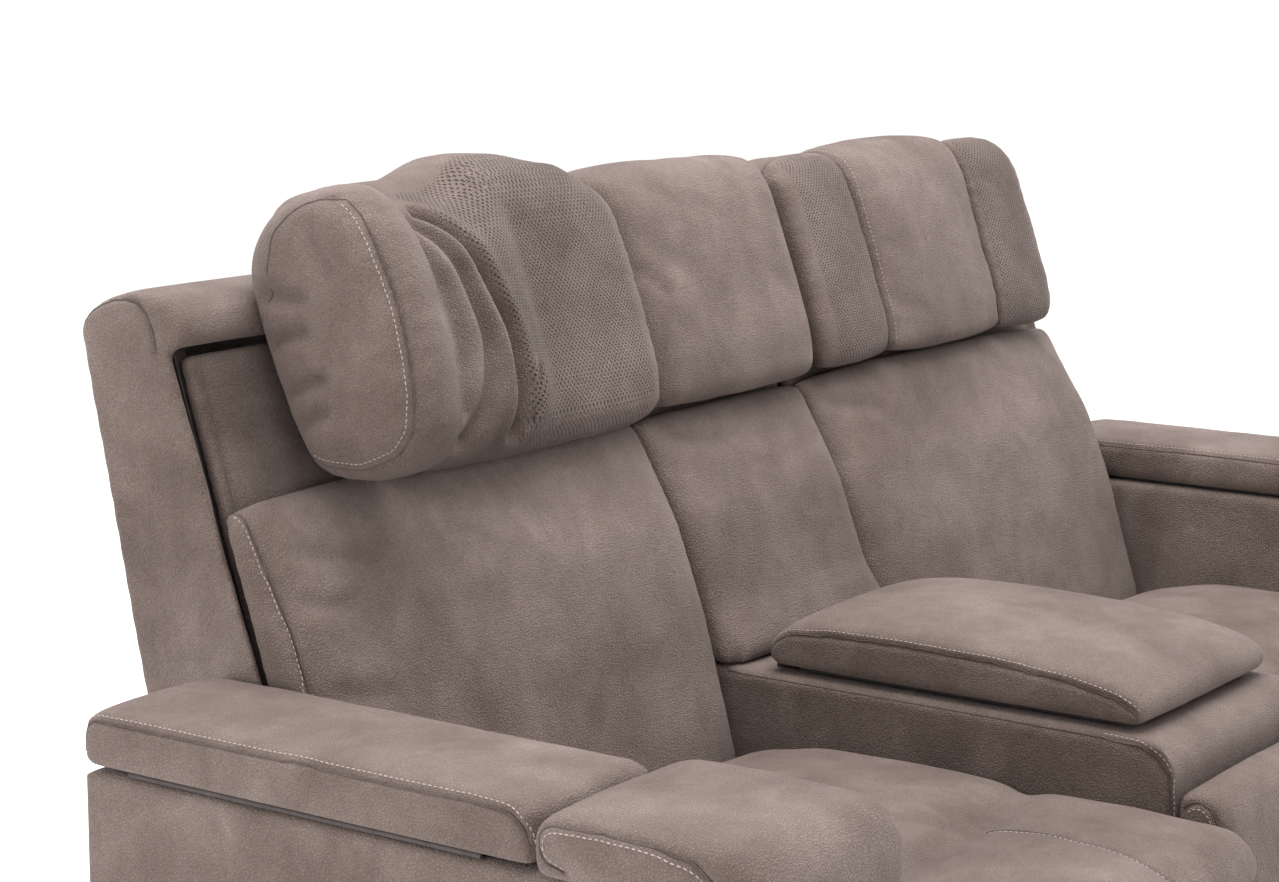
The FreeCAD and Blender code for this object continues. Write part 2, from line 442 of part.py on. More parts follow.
# ---------------------------------------------------------------- seats
for s, name in ((-1, "left"), (1, "right")):
    cushion = prism(s, SEAT_IN, SEAT_OUT, [
        (-375.0, 402.0), (-405.0, 402.0), (-418.0, 415.0), (-415.0, 440.0), (-395.0, 456.0), (214.0, 452.0),
        (214.0, 326.0), (-375.0, 326.0)])
    crown = prism(s, SEAT_IN + 45.0, SEAT_OUT - 45.0, [
        (-395.0, 456.0), (-370.0, 474.0), (-250.0, 484.0), (0.0, 482.0), (150.0, 466.0), (214.0, 452.0)])
    save("seat_cushion_" + name, cushion.fuse(crown).removeSplitter())

    frame = [
        box(s, 196.0, 202.0, -350.0, 236.0, 108.0, 322.0),
        box(s, 836.0, 842.0, -350.0, 236.0, 108.0, 322.0),
        box(s, 202.0, 836.0, -368.0, -338.0, 300.0, 322.0),
        box(s, 202.0, 836.0, 206.0, 236.0, 290.0, 322.0),
    ]
    ear = [(236.0, 290.0), (300.0, 331.0), (308.0, 333.0), (313.0, 340.0), (314.0, 345.0), (313.0, 350.0),
           (308.0, 357.0), (300.0, 359.0), (292.0, 357.0), (236.0, 322.0)]
    for xa, pin_a, pin_b in ((196.0, 202.0, 212.0), (836.0, 824.0, 836.0)):
        plate = prism(s, xa, xa + 6.0, ear)
        frame.append(plate.fuse(rod(s, pin_a, pin_b, PIVOT_Y, PIVOT_Z, PIVOT_R)))
    save("seat_frame_" + name, group(*frame))

    # sinuous springs: crosswise runs joined by half-round bends
    springs = []
    for k in range(4):
        xc = s * (290.0 + 152.0 * k)
        wire_r, half, runs = 1.6, 12.0, 24
        y_a, y_b = -338.0 + wire_r - Y0, 206.0 - wire_r - Y0
        pitch = (y_b - y_a) / runs
        edges = []
        for n in range(runs + 1):
            y = y_a + n * pitch
            d = 1.0 if n % 2 == 0 else -1.0
            edges.append(Part.makeLine(V(xc - half * d, y, 324.0), V(xc + half * d, y, 324.0)))
            if n < runs:
                edges.append(Part.Arc(V(xc + half * d, y, 324.0), V(xc + (half + pitch / 2) * d, y + pitch / 2, 324.0),
                                      V(xc + half * d, y + pitch, 324.0)).toShape())
        section = Part.Wire(Part.makeCircle(wire_r, V(xc - half, y_a, 324.0), V(1, 0, 0)))
        spring = Part.Wire(edges).makePipeShell([section], True, False)
        springs.append(spring.Solids[0])
    save("seat_springs_" + name, group(*springs))

    motor = all_round(box(s, 480.0, 556.0, 92.0, 172.0, 172.0, 236.0), 4.0)
    beam = box(s, 504.0, 532.0, -214.0, 92.0, 190.0, 196.0)
    foot_r = box(s, 504.0, 532.0, 172.0, 206.0, 200.0, 220.0)
    strut = box(s, 504.0, 532.0, 206.0, 212.0, 200.0, 290.0)
    save("leg_actuator_" + name, motor.fuse(beam).fuse(foot_r).fuse(strut).removeSplitter())
    slider = box(s, 500.0, 536.0, -150.0, -90.0, 197.0, 222.0)
    slider = slider.fuse(Part.makeCylinder(6.0, 129.0, V(s * 518.0, -150.0 - Y0, 212.0), V(0, -1, 0)))
    save("actuator_slider_" + name, slider)

    # leg rest: crank (two arms and a torque tube), follower links, padded board
    def link(a, b, x0, x1, r):
        d = math.hypot(b[0] - a[0], b[1] - a[1])
        ang = math.degrees(math.atan2(b[1] - a[1], b[0] - a[0]))
        x_lo = min(s * x0, s * x1)
        bar = Part.makeBox(abs(x1 - x0), d, 2 * r, V(x_lo, 0, -r))
        bar = bar.fuse(Part.makeCylinder(r, abs(x1 - x0), V(x_lo, 0, 0), V(1, 0, 0)))
        bar = bar.fuse(Part.makeCylinder(r, abs(x1 - x0), V(x_lo, d, 0), V(1, 0, 0)))
        bar = bar.removeSplitter()
        bar.Placement = FreeCAD.Placement(V(0, a[0] - Y0, a[1]), FreeCAD.Rotation(V(1, 0, 0), ang))
        return bar

    cranks, links = [], []
    for xa, t in ((796.0, 1.0), (242.0, -1.0)):
        # crank in the outer layer, follower beside it towards the seat's middle
        c0, c1 = sorted((xa, xa + 6.0 * t))
        l0, l1 = sorted((xa - 0.8 * t, xa - 6.8 * t))
        crank = link(L0, L1, c0, c1, 9.0)
        p0, p1 = sorted((xa - 7.6 * t, xa))
        crank = crank.fuse(rod(s, p0, p1, L1[0], L1[1], 4.0))
        q0, q1 = sorted((xa + 6.0 * t, xa + 46.0 * t))
        crank = crank.fuse(rod(s, q0, q1, L0[0], L0[1], 5.0))
        cranks.append(crank)
        fl = link(L1, L2, l0, l1, 9.0)
        fl = fl.cut(rod(s, l0 - 1, l1 + 1, L1[0], L1[1], 4.0 + RUN))
        r0, r1 = sorted((xa - 14.0 * t, xa - 6.8 * t))
        fl = fl.fuse(rod(s, r0, r1, L2[0], L2[1], 4.0))
        links.append(fl)
    ux, uz = (L1[0] - L0[0]) / 150.0, (L1[1] - L0[1]) / 150.0
    tube = rod(s, 242.0, 796.0, L0[0] + 60.0 * ux, L0[1] + 60.0 * uz, 8.0)
    save("leg_crank_" + name, cranks[0].fuse(tube).fuse(cranks[1]).removeSplitter())
    save("leg_links_" + name, group(*links))
    board = box(s, 186.0, 834.0, Y_FRONT, -375.0, LEG_Z0, LEG_Z1)
    board = soften(board, 16.0, lambda x, y, z: y < Y_FRONT + 1)
    for xa, t in ((796.0, 1.0), (242.0, -1.0)):
        b0, b1 = sorted((xa - 8.2 * t, xa - 13.2 * t))
        lug = prism(s, b0, b1, [(-375.0, 290.0), (-350.0, 282.0), (-340.0, 276.0), (-340.0, 264.0),
                                (-350.0, 258.0), (-375.0, 250.0)])
        lug = lug.cut(rod(s, b0 - 1, b1 + 1, L2[0], L2[1], 4.0 + RUN))
        board = board.fuse(lug)
    save("leg_board_" + name, board.removeSplitter())

# holes for the crank pivots in the seat frames' side plates
for s, name in ((-1, "left"), (1, "right")):
    solids = []
    for sol in parts["seat_frame_" + name].Solids:
        bb = sol.BoundBox
        if bb.YLength > 500.0 and bb.XLength < 7.0:
            sol = sol.cut(rod(s, 190.0, 850.0, L0[0], L0[1], 5.0 + RUN)).Solids[0]
        solids.append(sol)
    parts["seat_frame_" + name] = group(*solids)

# ---------------------------------------------------------------- out
whole = Part.makeCompound(list(parts.values())).BoundBox
print("box x %.2f %.2f  y %.2f %.2f  z %.2f %.2f" % (
    whole.XMin, whole.XMax, whole.YMin, whole.YMax, whole.ZMin, whole.ZMax))
for name, shape in sorted(parts.items()):
    bad = [k for k, x in enumerate(shape.Solids) if not x.isValid() or x.Volume <= 0]
    if bad or not shape.Solids:
        print("BAD", name, bad, len(shape.Solids))
    shape.exportStep("parts/" + name + ".step")
print(len(parts), "nodes")
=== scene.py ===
import math

import bmesh
import bpy
import numpy as np
from mathutils import Matrix, Vector
from mathutils.bvhtree import BVHTree
from mathutils.kdtree import KDTree


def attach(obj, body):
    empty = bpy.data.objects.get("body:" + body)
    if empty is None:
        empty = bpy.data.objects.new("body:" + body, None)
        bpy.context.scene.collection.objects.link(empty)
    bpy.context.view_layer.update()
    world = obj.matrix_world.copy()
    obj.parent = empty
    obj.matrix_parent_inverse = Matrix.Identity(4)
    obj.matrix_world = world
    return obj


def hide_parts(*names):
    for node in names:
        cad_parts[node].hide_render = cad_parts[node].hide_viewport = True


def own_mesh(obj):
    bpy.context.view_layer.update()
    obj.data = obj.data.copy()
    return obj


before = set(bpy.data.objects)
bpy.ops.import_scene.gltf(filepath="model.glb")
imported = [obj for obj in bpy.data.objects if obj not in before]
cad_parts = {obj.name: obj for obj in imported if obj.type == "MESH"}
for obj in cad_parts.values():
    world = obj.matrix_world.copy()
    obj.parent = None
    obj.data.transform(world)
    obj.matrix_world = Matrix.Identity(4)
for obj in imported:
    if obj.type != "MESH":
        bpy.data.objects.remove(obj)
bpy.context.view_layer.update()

scene = bpy.context.scene
Y0 = 80.0            # the measuring datum lies this far in front of the middle, in mm


# ------------------------------------------------------------------ numbers
def M(p):
    """Measured millimetres to the frame's metres."""
    p = np.asarray(p, float).reshape(-1, 3)
    return (p - np.array([0.0, Y0, 0.0])) / 1000.0


def lattice(ix, iy, iz, seed):
    h = (ix * 374761393 + iy * 668265263 + iz * 1442695041 + seed * 974711) & 0xFFFFFFFF
    h = ((h ^ (h >> 13)) * 1274126177) & 0xFFFFFFFF
    return ((h ^ (h >> 16)) & 0xFFFF) / 32767.5 - 1.0


def noise(p, seed=0):
    """Smooth noise from -1 to 1 at points p, one lattice step per unit."""
    p = np.asarray(p, float)
    i = np.floor(p).astype(np.int64)
    f = p - i
    f = f * f * f * (f * (f * 6 - 15) + 10)
    out = np.zeros(len(p))
    for dx in (0, 1):
        for dy in (0, 1):
            for dz in (0, 1):
                w = (f[:, 0] if dx else 1 - f[:, 0]) * (f[:, 1] if dy else 1 - f[:, 1]) * (f[:, 2] if dz else 1 - f[:, 2])
                out += w * lattice(i[:, 0] + dx, i[:, 1] + dy, i[:, 2] + dz, seed)
    return out


def fbm(p, seed=0, octaves=3):
    out, amp, tot = np.zeros(len(p)), 1.0, 0.0
    for k in range(octaves):
        out += amp * noise(np.asarray(p) * (2.03 ** k) + 7.3 * k, seed + 11 * k)
        tot += amp
        amp *= 0.5
    return out / tot


# ------------------------------------------------------------------ meshes
def arrays(me):
    n = len(me.vertices)
    co = np.empty(n * 3, np.float32)
    me.vertices.foreach_get("co", co)
    e = np.empty(len(me.edges) * 2, np.int32)
    me.edges.foreach_get("vertices", e)
    nr = np.empty(n * 3, np.float32)
    me.vertex_normals.foreach_get("vector", nr)
    return co.reshape(-1, 3).astype(float), e.reshape(-1, 2), nr.reshape(-1, 3).astype(float)


def put(me, co):
    me.vertices.foreach_set("co", np.asarray(co, np.float32).ravel())
    me.update()


def spread(x, e, deg):
    """Mean of the neighbours, for each vertex."""
    n = len(deg)
    if x.ndim == 1:
        return (np.bincount(e[:, 0], x[e[:, 1]], n) + np.bincount(e[:, 1], x[e[:, 0]], n)) / deg
    return np.stack([spread(x[:, k], e, deg) for k in range(x.shape[1])], 1)


def degree(n, e):
    return np.maximum(np.bincount(e.ravel(), minlength=n), 1).astype(float)


def relax(me, times, lam=0.5):
    co, e, _ = arrays(me)
    deg = degree(len(co), e)
    for _ in range(times):
        co = co + lam * (spread(co, e, deg) - co)
    put(me, co)


def membrane(e, n, fixed, limit=260):
    """Height of a blown-up membrane held at the fixed vertices, per unit load."""
    free = ~fixed
    deg = degree(n, e)
    x = np.zeros(n)
    r = np.where(free, 1.0, 0.0)
    p = r.copy()
    rr = float(r @ r)
    goal = rr * 1e-6
    for _ in range(limit):
        if rr < goal or rr == 0:
            break
        q = deg * p - (np.bincount(e[:, 0], p[e[:, 1]], n) + np.bincount(e[:, 1], p[e[:, 0]], n))
        q[fixed] = 0
        a = rr / max(float(p @ q), 1e-30)
        x += a * p
        r -= a * q
        new = float(r @ r)
        p = r + (new / rr) * p
        rr = new
    return np.maximum(x, 0)


def new_object(name, verts, faces):
    me = bpy.data.meshes.new(name)
    me.from_pydata([tuple(v) for v in verts], [], faces)
    me.update()
    ob = bpy.data.objects.new(name, me)
    scene.collection.objects.link(ob)
    return ob


def shade_smooth(me):
    me.polygons.foreach_set("use_smooth", np.ones(len(me.polygons), bool))
    me.update()


def baked(ob):
    """Applies the object's modifiers."""
    dg = bpy.context.evaluated_depsgraph_get()
    dg.update()
    me = bpy.data.meshes.new_from_object(ob.evaluated_get(dg))
    old = ob.data
    ob.modifiers.clear()
    ob.data = me
    me.name = ob.name
    if old.users == 0:
        bpy.data.meshes.remove(old)
    return ob


def remesh(ob, voxel):
    m = ob.modifiers.new("v", "REMESH")
    m.mode = "VOXEL"
    m.voxel_size = voxel
    m.adaptivity = 0.0
    return baked(ob)


def cut(ob, other, how="DIFFERENCE"):
    """Takes another solid away from this one, or keeps only what they share."""
    m = ob.modifiers.new("b", "BOOLEAN")
    m.operation = how
    m.solver = "EXACT"
    m.object = other
    baked(ob)
    bpy.data.objects.remove(other)
    return ob


def join(ob, *others):
    """Adds the other meshes to this one."""
    bits, base = [], 0
    for o in (ob,) + others:
        co = [tuple(v.co) for v in o.data.vertices]
        bits.append((co, [tuple(base + i for i in f.vertices) for f in o.data.polygons]))
        base += len(co)
    me = bpy.data.meshes.new(ob.name)
    me.from_pydata([v for b in bits for v in b[0]], [], [f for b in bits for f in b[1]])
    ob.data = me
    for o in others:
        bpy.data.objects.remove(o)
    return ob


def subdivide(ob, levels=1):
    m = ob.modifiers.new("s", "SUBSURF")
    m.levels = m.render_levels = levels
    return baked(ob)


# ------------------------------------------------------------------ profiles
def filleted(pts, r, seg=5):
    """Closed (y, z) outline in mm with its corners rounded. r is a radius or one per corner."""
    pts = [np.array(p, float) for p in pts]
    n = len(pts)
    rs = [r] * n if np.isscalar(r) else list(r)
    out = []
    for i in range(n):
        a, b, c = pts[i - 1], pts[i], pts[(i + 1) % n]
        u, v = a - b, c - b
        lu, lv = np.linalg.norm(u), np.linalg.norm(v)
        u, v = u / lu, v / lv
        ang = math.acos(max(-1.0, min(1.0, float(u @ v))))
        if rs[i] <= 0 or ang > math.radians(176):
            out.append(b)
            continue
        t = min(rs[i] / math.tan(ang / 2), 0.49 * lu, 0.49 * lv)
        rr = t * math.tan(ang / 2)
        bis = (u + v) / np.linalg.norm(u + v)
        cen = b + bis * (rr / math.sin(ang / 2))
        p0, p1 = b + u * t - cen, b + v * t - cen
        a0, a1 = math.atan2(p0[1], p0[0]), math.atan2(p1[1], p1[0])
        d = (a1 - a0 + math.pi) % (2 * math.pi) - math.pi
        for k in range(seg + 1):
            w = a0 + d * k / seg
            out.append(cen + rr * np.array([math.cos(w), math.sin(w)]))
    return np.array(out)


def dense(poly, step=12.0):
    out = []
    n = len(poly)
    for i in range(n):
        a, b = poly[i], poly[(i + 1) % n]
        k = max(1, int(np.linalg.norm(b - a) / step))
        for j in range(k):
            out.append(a + (b - a) * j / k)
    return np.array(out)


def area2(poly):
    x, y = poly[:, 0], poly[:, 1]
    return 0.5 * float(np.sum(x * np.roll(y, -1) - np.roll(x, -1) * y))


def inset(poly, d):
    """Moves each point of a closed outline inwards by d."""
    if area2(poly) < 0:
        return inset(poly[::-1], d)[::-1]
    t = np.roll(poly, -1, 0) - np.roll(poly, 1, 0)
    t /= np.maximum(np.linalg.norm(t, axis=1, keepdims=True), 1e-9)
    nrm = np.stack([-t[:, 1], t[:, 0]], 1)
    return poly + nrm * d


def loft(name, rings):
    n = len(rings[0])
    verts = np.concatenate(rings)
    faces = []
    for k in range(len(rings) - 1):
        a, b = k * n, (k + 1) * n
        for i in range(n):
            j = (i + 1) % n
            faces.append((a + i, a + j, b + j, b + i))
    faces.append(tuple(range(n))[::-1])
    faces.append(tuple((len(rings) - 1) * n + i for i in range(n)))
    return new_object(name, verts, faces)


def prism(name, xa, xb, outline, r_end=(10.0, 10.0), seg=4, step=14.0, shape=None):
    """Solid of one (y, z) outline from x = xa to xb in mm, its two ends rounded. shape(x, poly) may bend each ring."""
    ra, rb = r_end if not np.isscalar(r_end) else (r_end, r_end)
    if area2(outline) < 0:
        outline = outline[::-1]
    turn = [math.pi / 2 * k / seg for k in range(seg + 1)]
    stations = [(xa + ra * (1 - math.cos(w)), ra * (1 - math.sin(w))) for w in turn] if ra else [(xa, 0.0)]
    inner = max(1, int((xb - rb - xa - ra) / (step * 3)))
    for k in range(1, inner):
        stations.append((xa + ra + (xb - rb - xa - ra) * k / inner, 0.0))
    stations += [(xb - rb * (1 - math.cos(w)), rb * (1 - math.sin(w))) for w in turn[::-1]] if rb else [(xb, 0.0)]
    rings = []
    for x, d in stations:
        poly = outline if d < 1e-6 else inset(outline, d)
        if shape is not None:
            poly = shape(x, poly)
        rings.append(M(np.column_stack([np.full(len(poly), x), poly])))
    return loft(name, rings)


def mirrored(ob, s):
    """Puts geometry that was made at +X on side s."""
    if s < 0:
        ob.data.transform(Matrix.Diagonal((-1, 1, 1, 1)))
        ob.data.flip_normals()
    return ob


# ------------------------------------------------------------------ seams
class Lines:
    """Sewn lines near a surface, sampled every 2 mm."""

    def __init__(self, lines):
        self.pts, self.t, self.tan, self.who = [], [], [], []
        for w, line in enumerate(lines):
            p = resample(line, 0.002)
            tan = np.gradient(p, axis=0)
            tan /= np.maximum(np.linalg.norm(tan, axis=1, keepdims=True), 1e-12)
            s = np.concatenate([[0], np.cumsum(np.linalg.norm(np.diff(p, axis=0), axis=1))])
            self.pts.append(p)
            self.t.append(s)
            self.tan.append(tan)
            self.who.append(np.full(len(p), w))
        self.pts, self.t = np.concatenate(self.pts), np.concatenate(self.t)
        self.tan, self.who = np.concatenate(self.tan), np.concatenate(self.who)
        self.kd = KDTree(len(self.pts))
        for i, p in enumerate(self.pts):
            self.kd.insert(p, i)
        self.kd.balance()

    def near(self, co, reach=0.16):
        """Distance, place along the line and which line, for each point."""
        n = len(co)
        d, t, who = np.full(n, 9.0), np.zeros(n), np.full(n, -1)
        lo, hi = self.pts.min(0) - reach, self.pts.max(0) + reach
        pick = np.nonzero(((co > lo) & (co < hi)).all(1))[0]
        find = self.kd.find
        idx = np.empty(len(pick), int)
        for k, i in enumerate(pick):
            idx[k] = find(co[i])[1]
        if len(pick):
            v = co[pick] - self.pts[idx]
            along = np.einsum("ij,ij->i", v, self.tan[idx])
            along = np.clip(along, -0.0012, 0.0012)
            d[pick] = np.linalg.norm(v - along[:, None] * self.tan[idx], axis=1)
            t[pick] = self.t[idx] + along
            who[pick] = self.who[idx]
        return d, t, who


def resample(line, step):
    p = np.asarray(line, float)
    seg = np.linalg.norm(np.diff(p, axis=0), axis=1)
    s = np.concatenate([[0], np.cumsum(seg)])
    n = max(2, int(s[-1] / step) + 1)
    q = np.linspace(0, s[-1], n)
    return np.stack([np.interp(q, s, p[:, k]) for k in range(3)], 1)


def rounded_line(line, times=3, step=0.004):
    """A line with its corners eased."""
    p = resample(line, step)
    for _ in range(times * 4):
        p[1:-1] = 0.5 * p[1:-1] + 0.25 * (p[:-2] + p[2:])
    return p


def tree(ob):
    me = ob.data
    co = np.empty(len(me.vertices) * 3, np.float32)
    me.vertices.foreach_get("co", co)
    return BVHTree.FromPolygons(co.reshape(-1, 3).tolist(), [tuple(p.vertices) for p in me.polygons])


def laid(bvh, line, smooth=2, step=0.003):
    """The line on the surface, with the surface normal at each point."""
    p = resample(line, step)
    out, nrm = [], []
    for q in p:
        hit, n, _, _ = bvh.find_nearest(Vector(q))
        out.append(hit)
        nrm.append(n)
    out, nrm = np.array(out), np.array(nrm)
    for _ in range(smooth):
        out[1:-1] = 0.5 * out[1:-1] + 0.25 * (out[:-2] + out[2:])
        nrm[1:-1] = 0.5 * nrm[1:-1] + 0.25 * (nrm[:-2] + nrm[2:])
    nrm /= np.maximum(np.linalg.norm(nrm, axis=1, keepdims=True), 1e-9)
    return out, nrm


def tube(points, normals, r, lift, sides=6, flat=1.0):
    """Vertices and faces of a thin tube along a laid line."""
    n = len(points)
    tan = np.gradient(points, axis=0)
    tan /= np.maximum(np.linalg.norm(tan, axis=1, keepdims=True), 1e-12)
    side = np.cross(tan, normals)
    side /= np.maximum(np.linalg.norm(side, axis=1, keepdims=True), 1e-12)
    up = np.cross(side, tan)
    verts, faces = [], []
    ends = np.ones(n)
    ends[0] = ends[-1] = 0.3
    for k in range(sides):
        w = 2 * math.pi * k / sides
        verts.append(points + lift * normals + (r * ends)[:, None] * (math.cos(w) * side + flat * math.sin(w) * up))
    verts = np.stack(verts, 1).reshape(-1, 3)
    for i in range(n - 1):
        for k in range(sides):
            j = (k + 1) % sides
            faces.append((i * sides + k, i * sides + j, (i + 1) * sides + j, (i + 1) * sides + k))
    faces.append(tuple(range(sides))[::-1])
    faces.append(tuple((n - 1) * sides + k for k in range(sides)))
    return verts, faces


STITCH = None


def stitch_shape():
    """One short thread, as a lens-shaped bead along x."""
    rings = [(-0.5, 0.25), (-0.36, 0.8), (0.0, 1.0), (0.36, 0.8), (0.5, 0.25)]
    verts, faces = [], []
    for x, r in rings:
        for k in range(6):
            w = 2 * math.pi * k / 6
            verts.append((x, r * math.cos(w), r * math.sin(w)))
    for i in range(len(rings) - 1):
        for k in range(6):
            j = (k + 1) % 6
            faces.append((i * 6 + k, (i + 1) * 6 + k, (i + 1) * 6 + j, i * 6 + j))
    faces.append((0, 1, 2, 3, 4, 5))
    faces.append(tuple(24 + k for k in range(6))[::-1])
    return np.array(verts), faces


def stitches(points, normals, length=0.0042, gap=0.0020, r=0.0007, lift=0.0002, seed=1):
    s = np.concatenate([[0], np.cumsum(np.linalg.norm(np.diff(points, axis=0), axis=1))])
    shape, fc = stitch_shape()
    verts, faces = [], []
    pitch = length + gap
    rng = np.random.RandomState(seed)
    for k in range(int((s[-1] - length) / pitch)):
        c = k * pitch + pitch * 0.5
        a = np.array([np.interp(c - length / 2, s, points[:, i]) for i in range(3)])
        b = np.array([np.interp(c + length / 2, s, points[:, i]) for i in range(3)])
        nn = np.array([np.interp(c, s, normals[:, i]) for i in range(3)])
        x = b - a
        lx = np.linalg.norm(x)
        if lx < 1e-5:
            continue
        x /= lx
        y = np.cross(nn, x)
        y /= max(np.linalg.norm(y), 1e-9)
        z = np.cross(x, y)
        x = x + y * rng.uniform(-0.05, 0.05)
        m = (a + b) / 2 + z * lift
        base = len(verts) * 30
        v = m + np.outer(shape[:, 0] * length, x) + np.outer(shape[:, 1] * r, y) + np.outer(shape[:, 2] * r, z)
        verts.append(v)
        faces += [tuple(base + i for i in f) for f in fc]
    if not verts:
        return np.zeros((0, 3)), []
    return np.concatenate(verts), faces


def merge(name, bits, material, body, squash=None, smooth=True):
    """One object from (verts, faces) bits."""
    verts, faces, base = [], [], 0
    for v, f in bits:
        if len(v) == 0:
            continue
        verts.append(v)
        faces += [tuple(base + i for i in x) for x in f]
        base += len(v)
    if not verts:
        return None
    ob = new_object(name, np.concatenate(verts), faces)
    ob.data.materials.append(material)
    if smooth:
        shade_smooth(ob.data)
    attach(ob, body)
    if squash:
        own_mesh(ob)
    return ob


# ------------------------------------------------------------------ materials
def nodes_of(name):
    m = bpy.data.materials.new(name)
    m.use_nodes = True
    nt = m.node_tree
    nt.nodes.clear()
    out = nt.nodes.new("ShaderNodeOutputMaterial")
    bsdf = nt.nodes.new("ShaderNodeBsdfPrincipled")
    nt.links.new(bsdf.outputs[0], out.inputs[0])
    return m, nt, bsdf


def node(nt, kind, inputs=None, **props):
    n = nt.nodes.new(kind)
    for k, v in props.items():
        setattr(n, k, v)
    for k, v in (inputs or {}).items():
        sock = n.inputs[k]
        if isinstance(v, bpy.types.NodeSocket):
            nt.links.new(v, sock)
        else:
            sock.default_value = v
    return n


def math_node(nt, op, a, b=None, c=None, clamp=False):
    n = nt.nodes.new("ShaderNodeMath")
    n.operation = op
    n.use_clamp = clamp
    for i, v in enumerate((a, b, c)):
        if v is None:
            continue
        if isinstance(v, bpy.types.NodeSocket):
            nt.links.new(v, n.inputs[i])
        else:
            n.inputs[i].default_value = v
    return n.outputs[0]


def ramp(nt, fac, stops):
    n = nt.nodes.new("ShaderNodeValToRGB")
    el = n.color_ramp.elements
    while len(el) > 1:
        el.remove(el[-1])
    el[0].position, el[0].color = stops[0][0], stops[0][1]
    for pos, col in stops[1:]:
        x = el.new(pos)
        x.color = col
    nt.links.new(fac, n.inputs[0])
    return n.outputs[0]


def grey(v):
    return (v, v, v, 1.0)


_made = {}


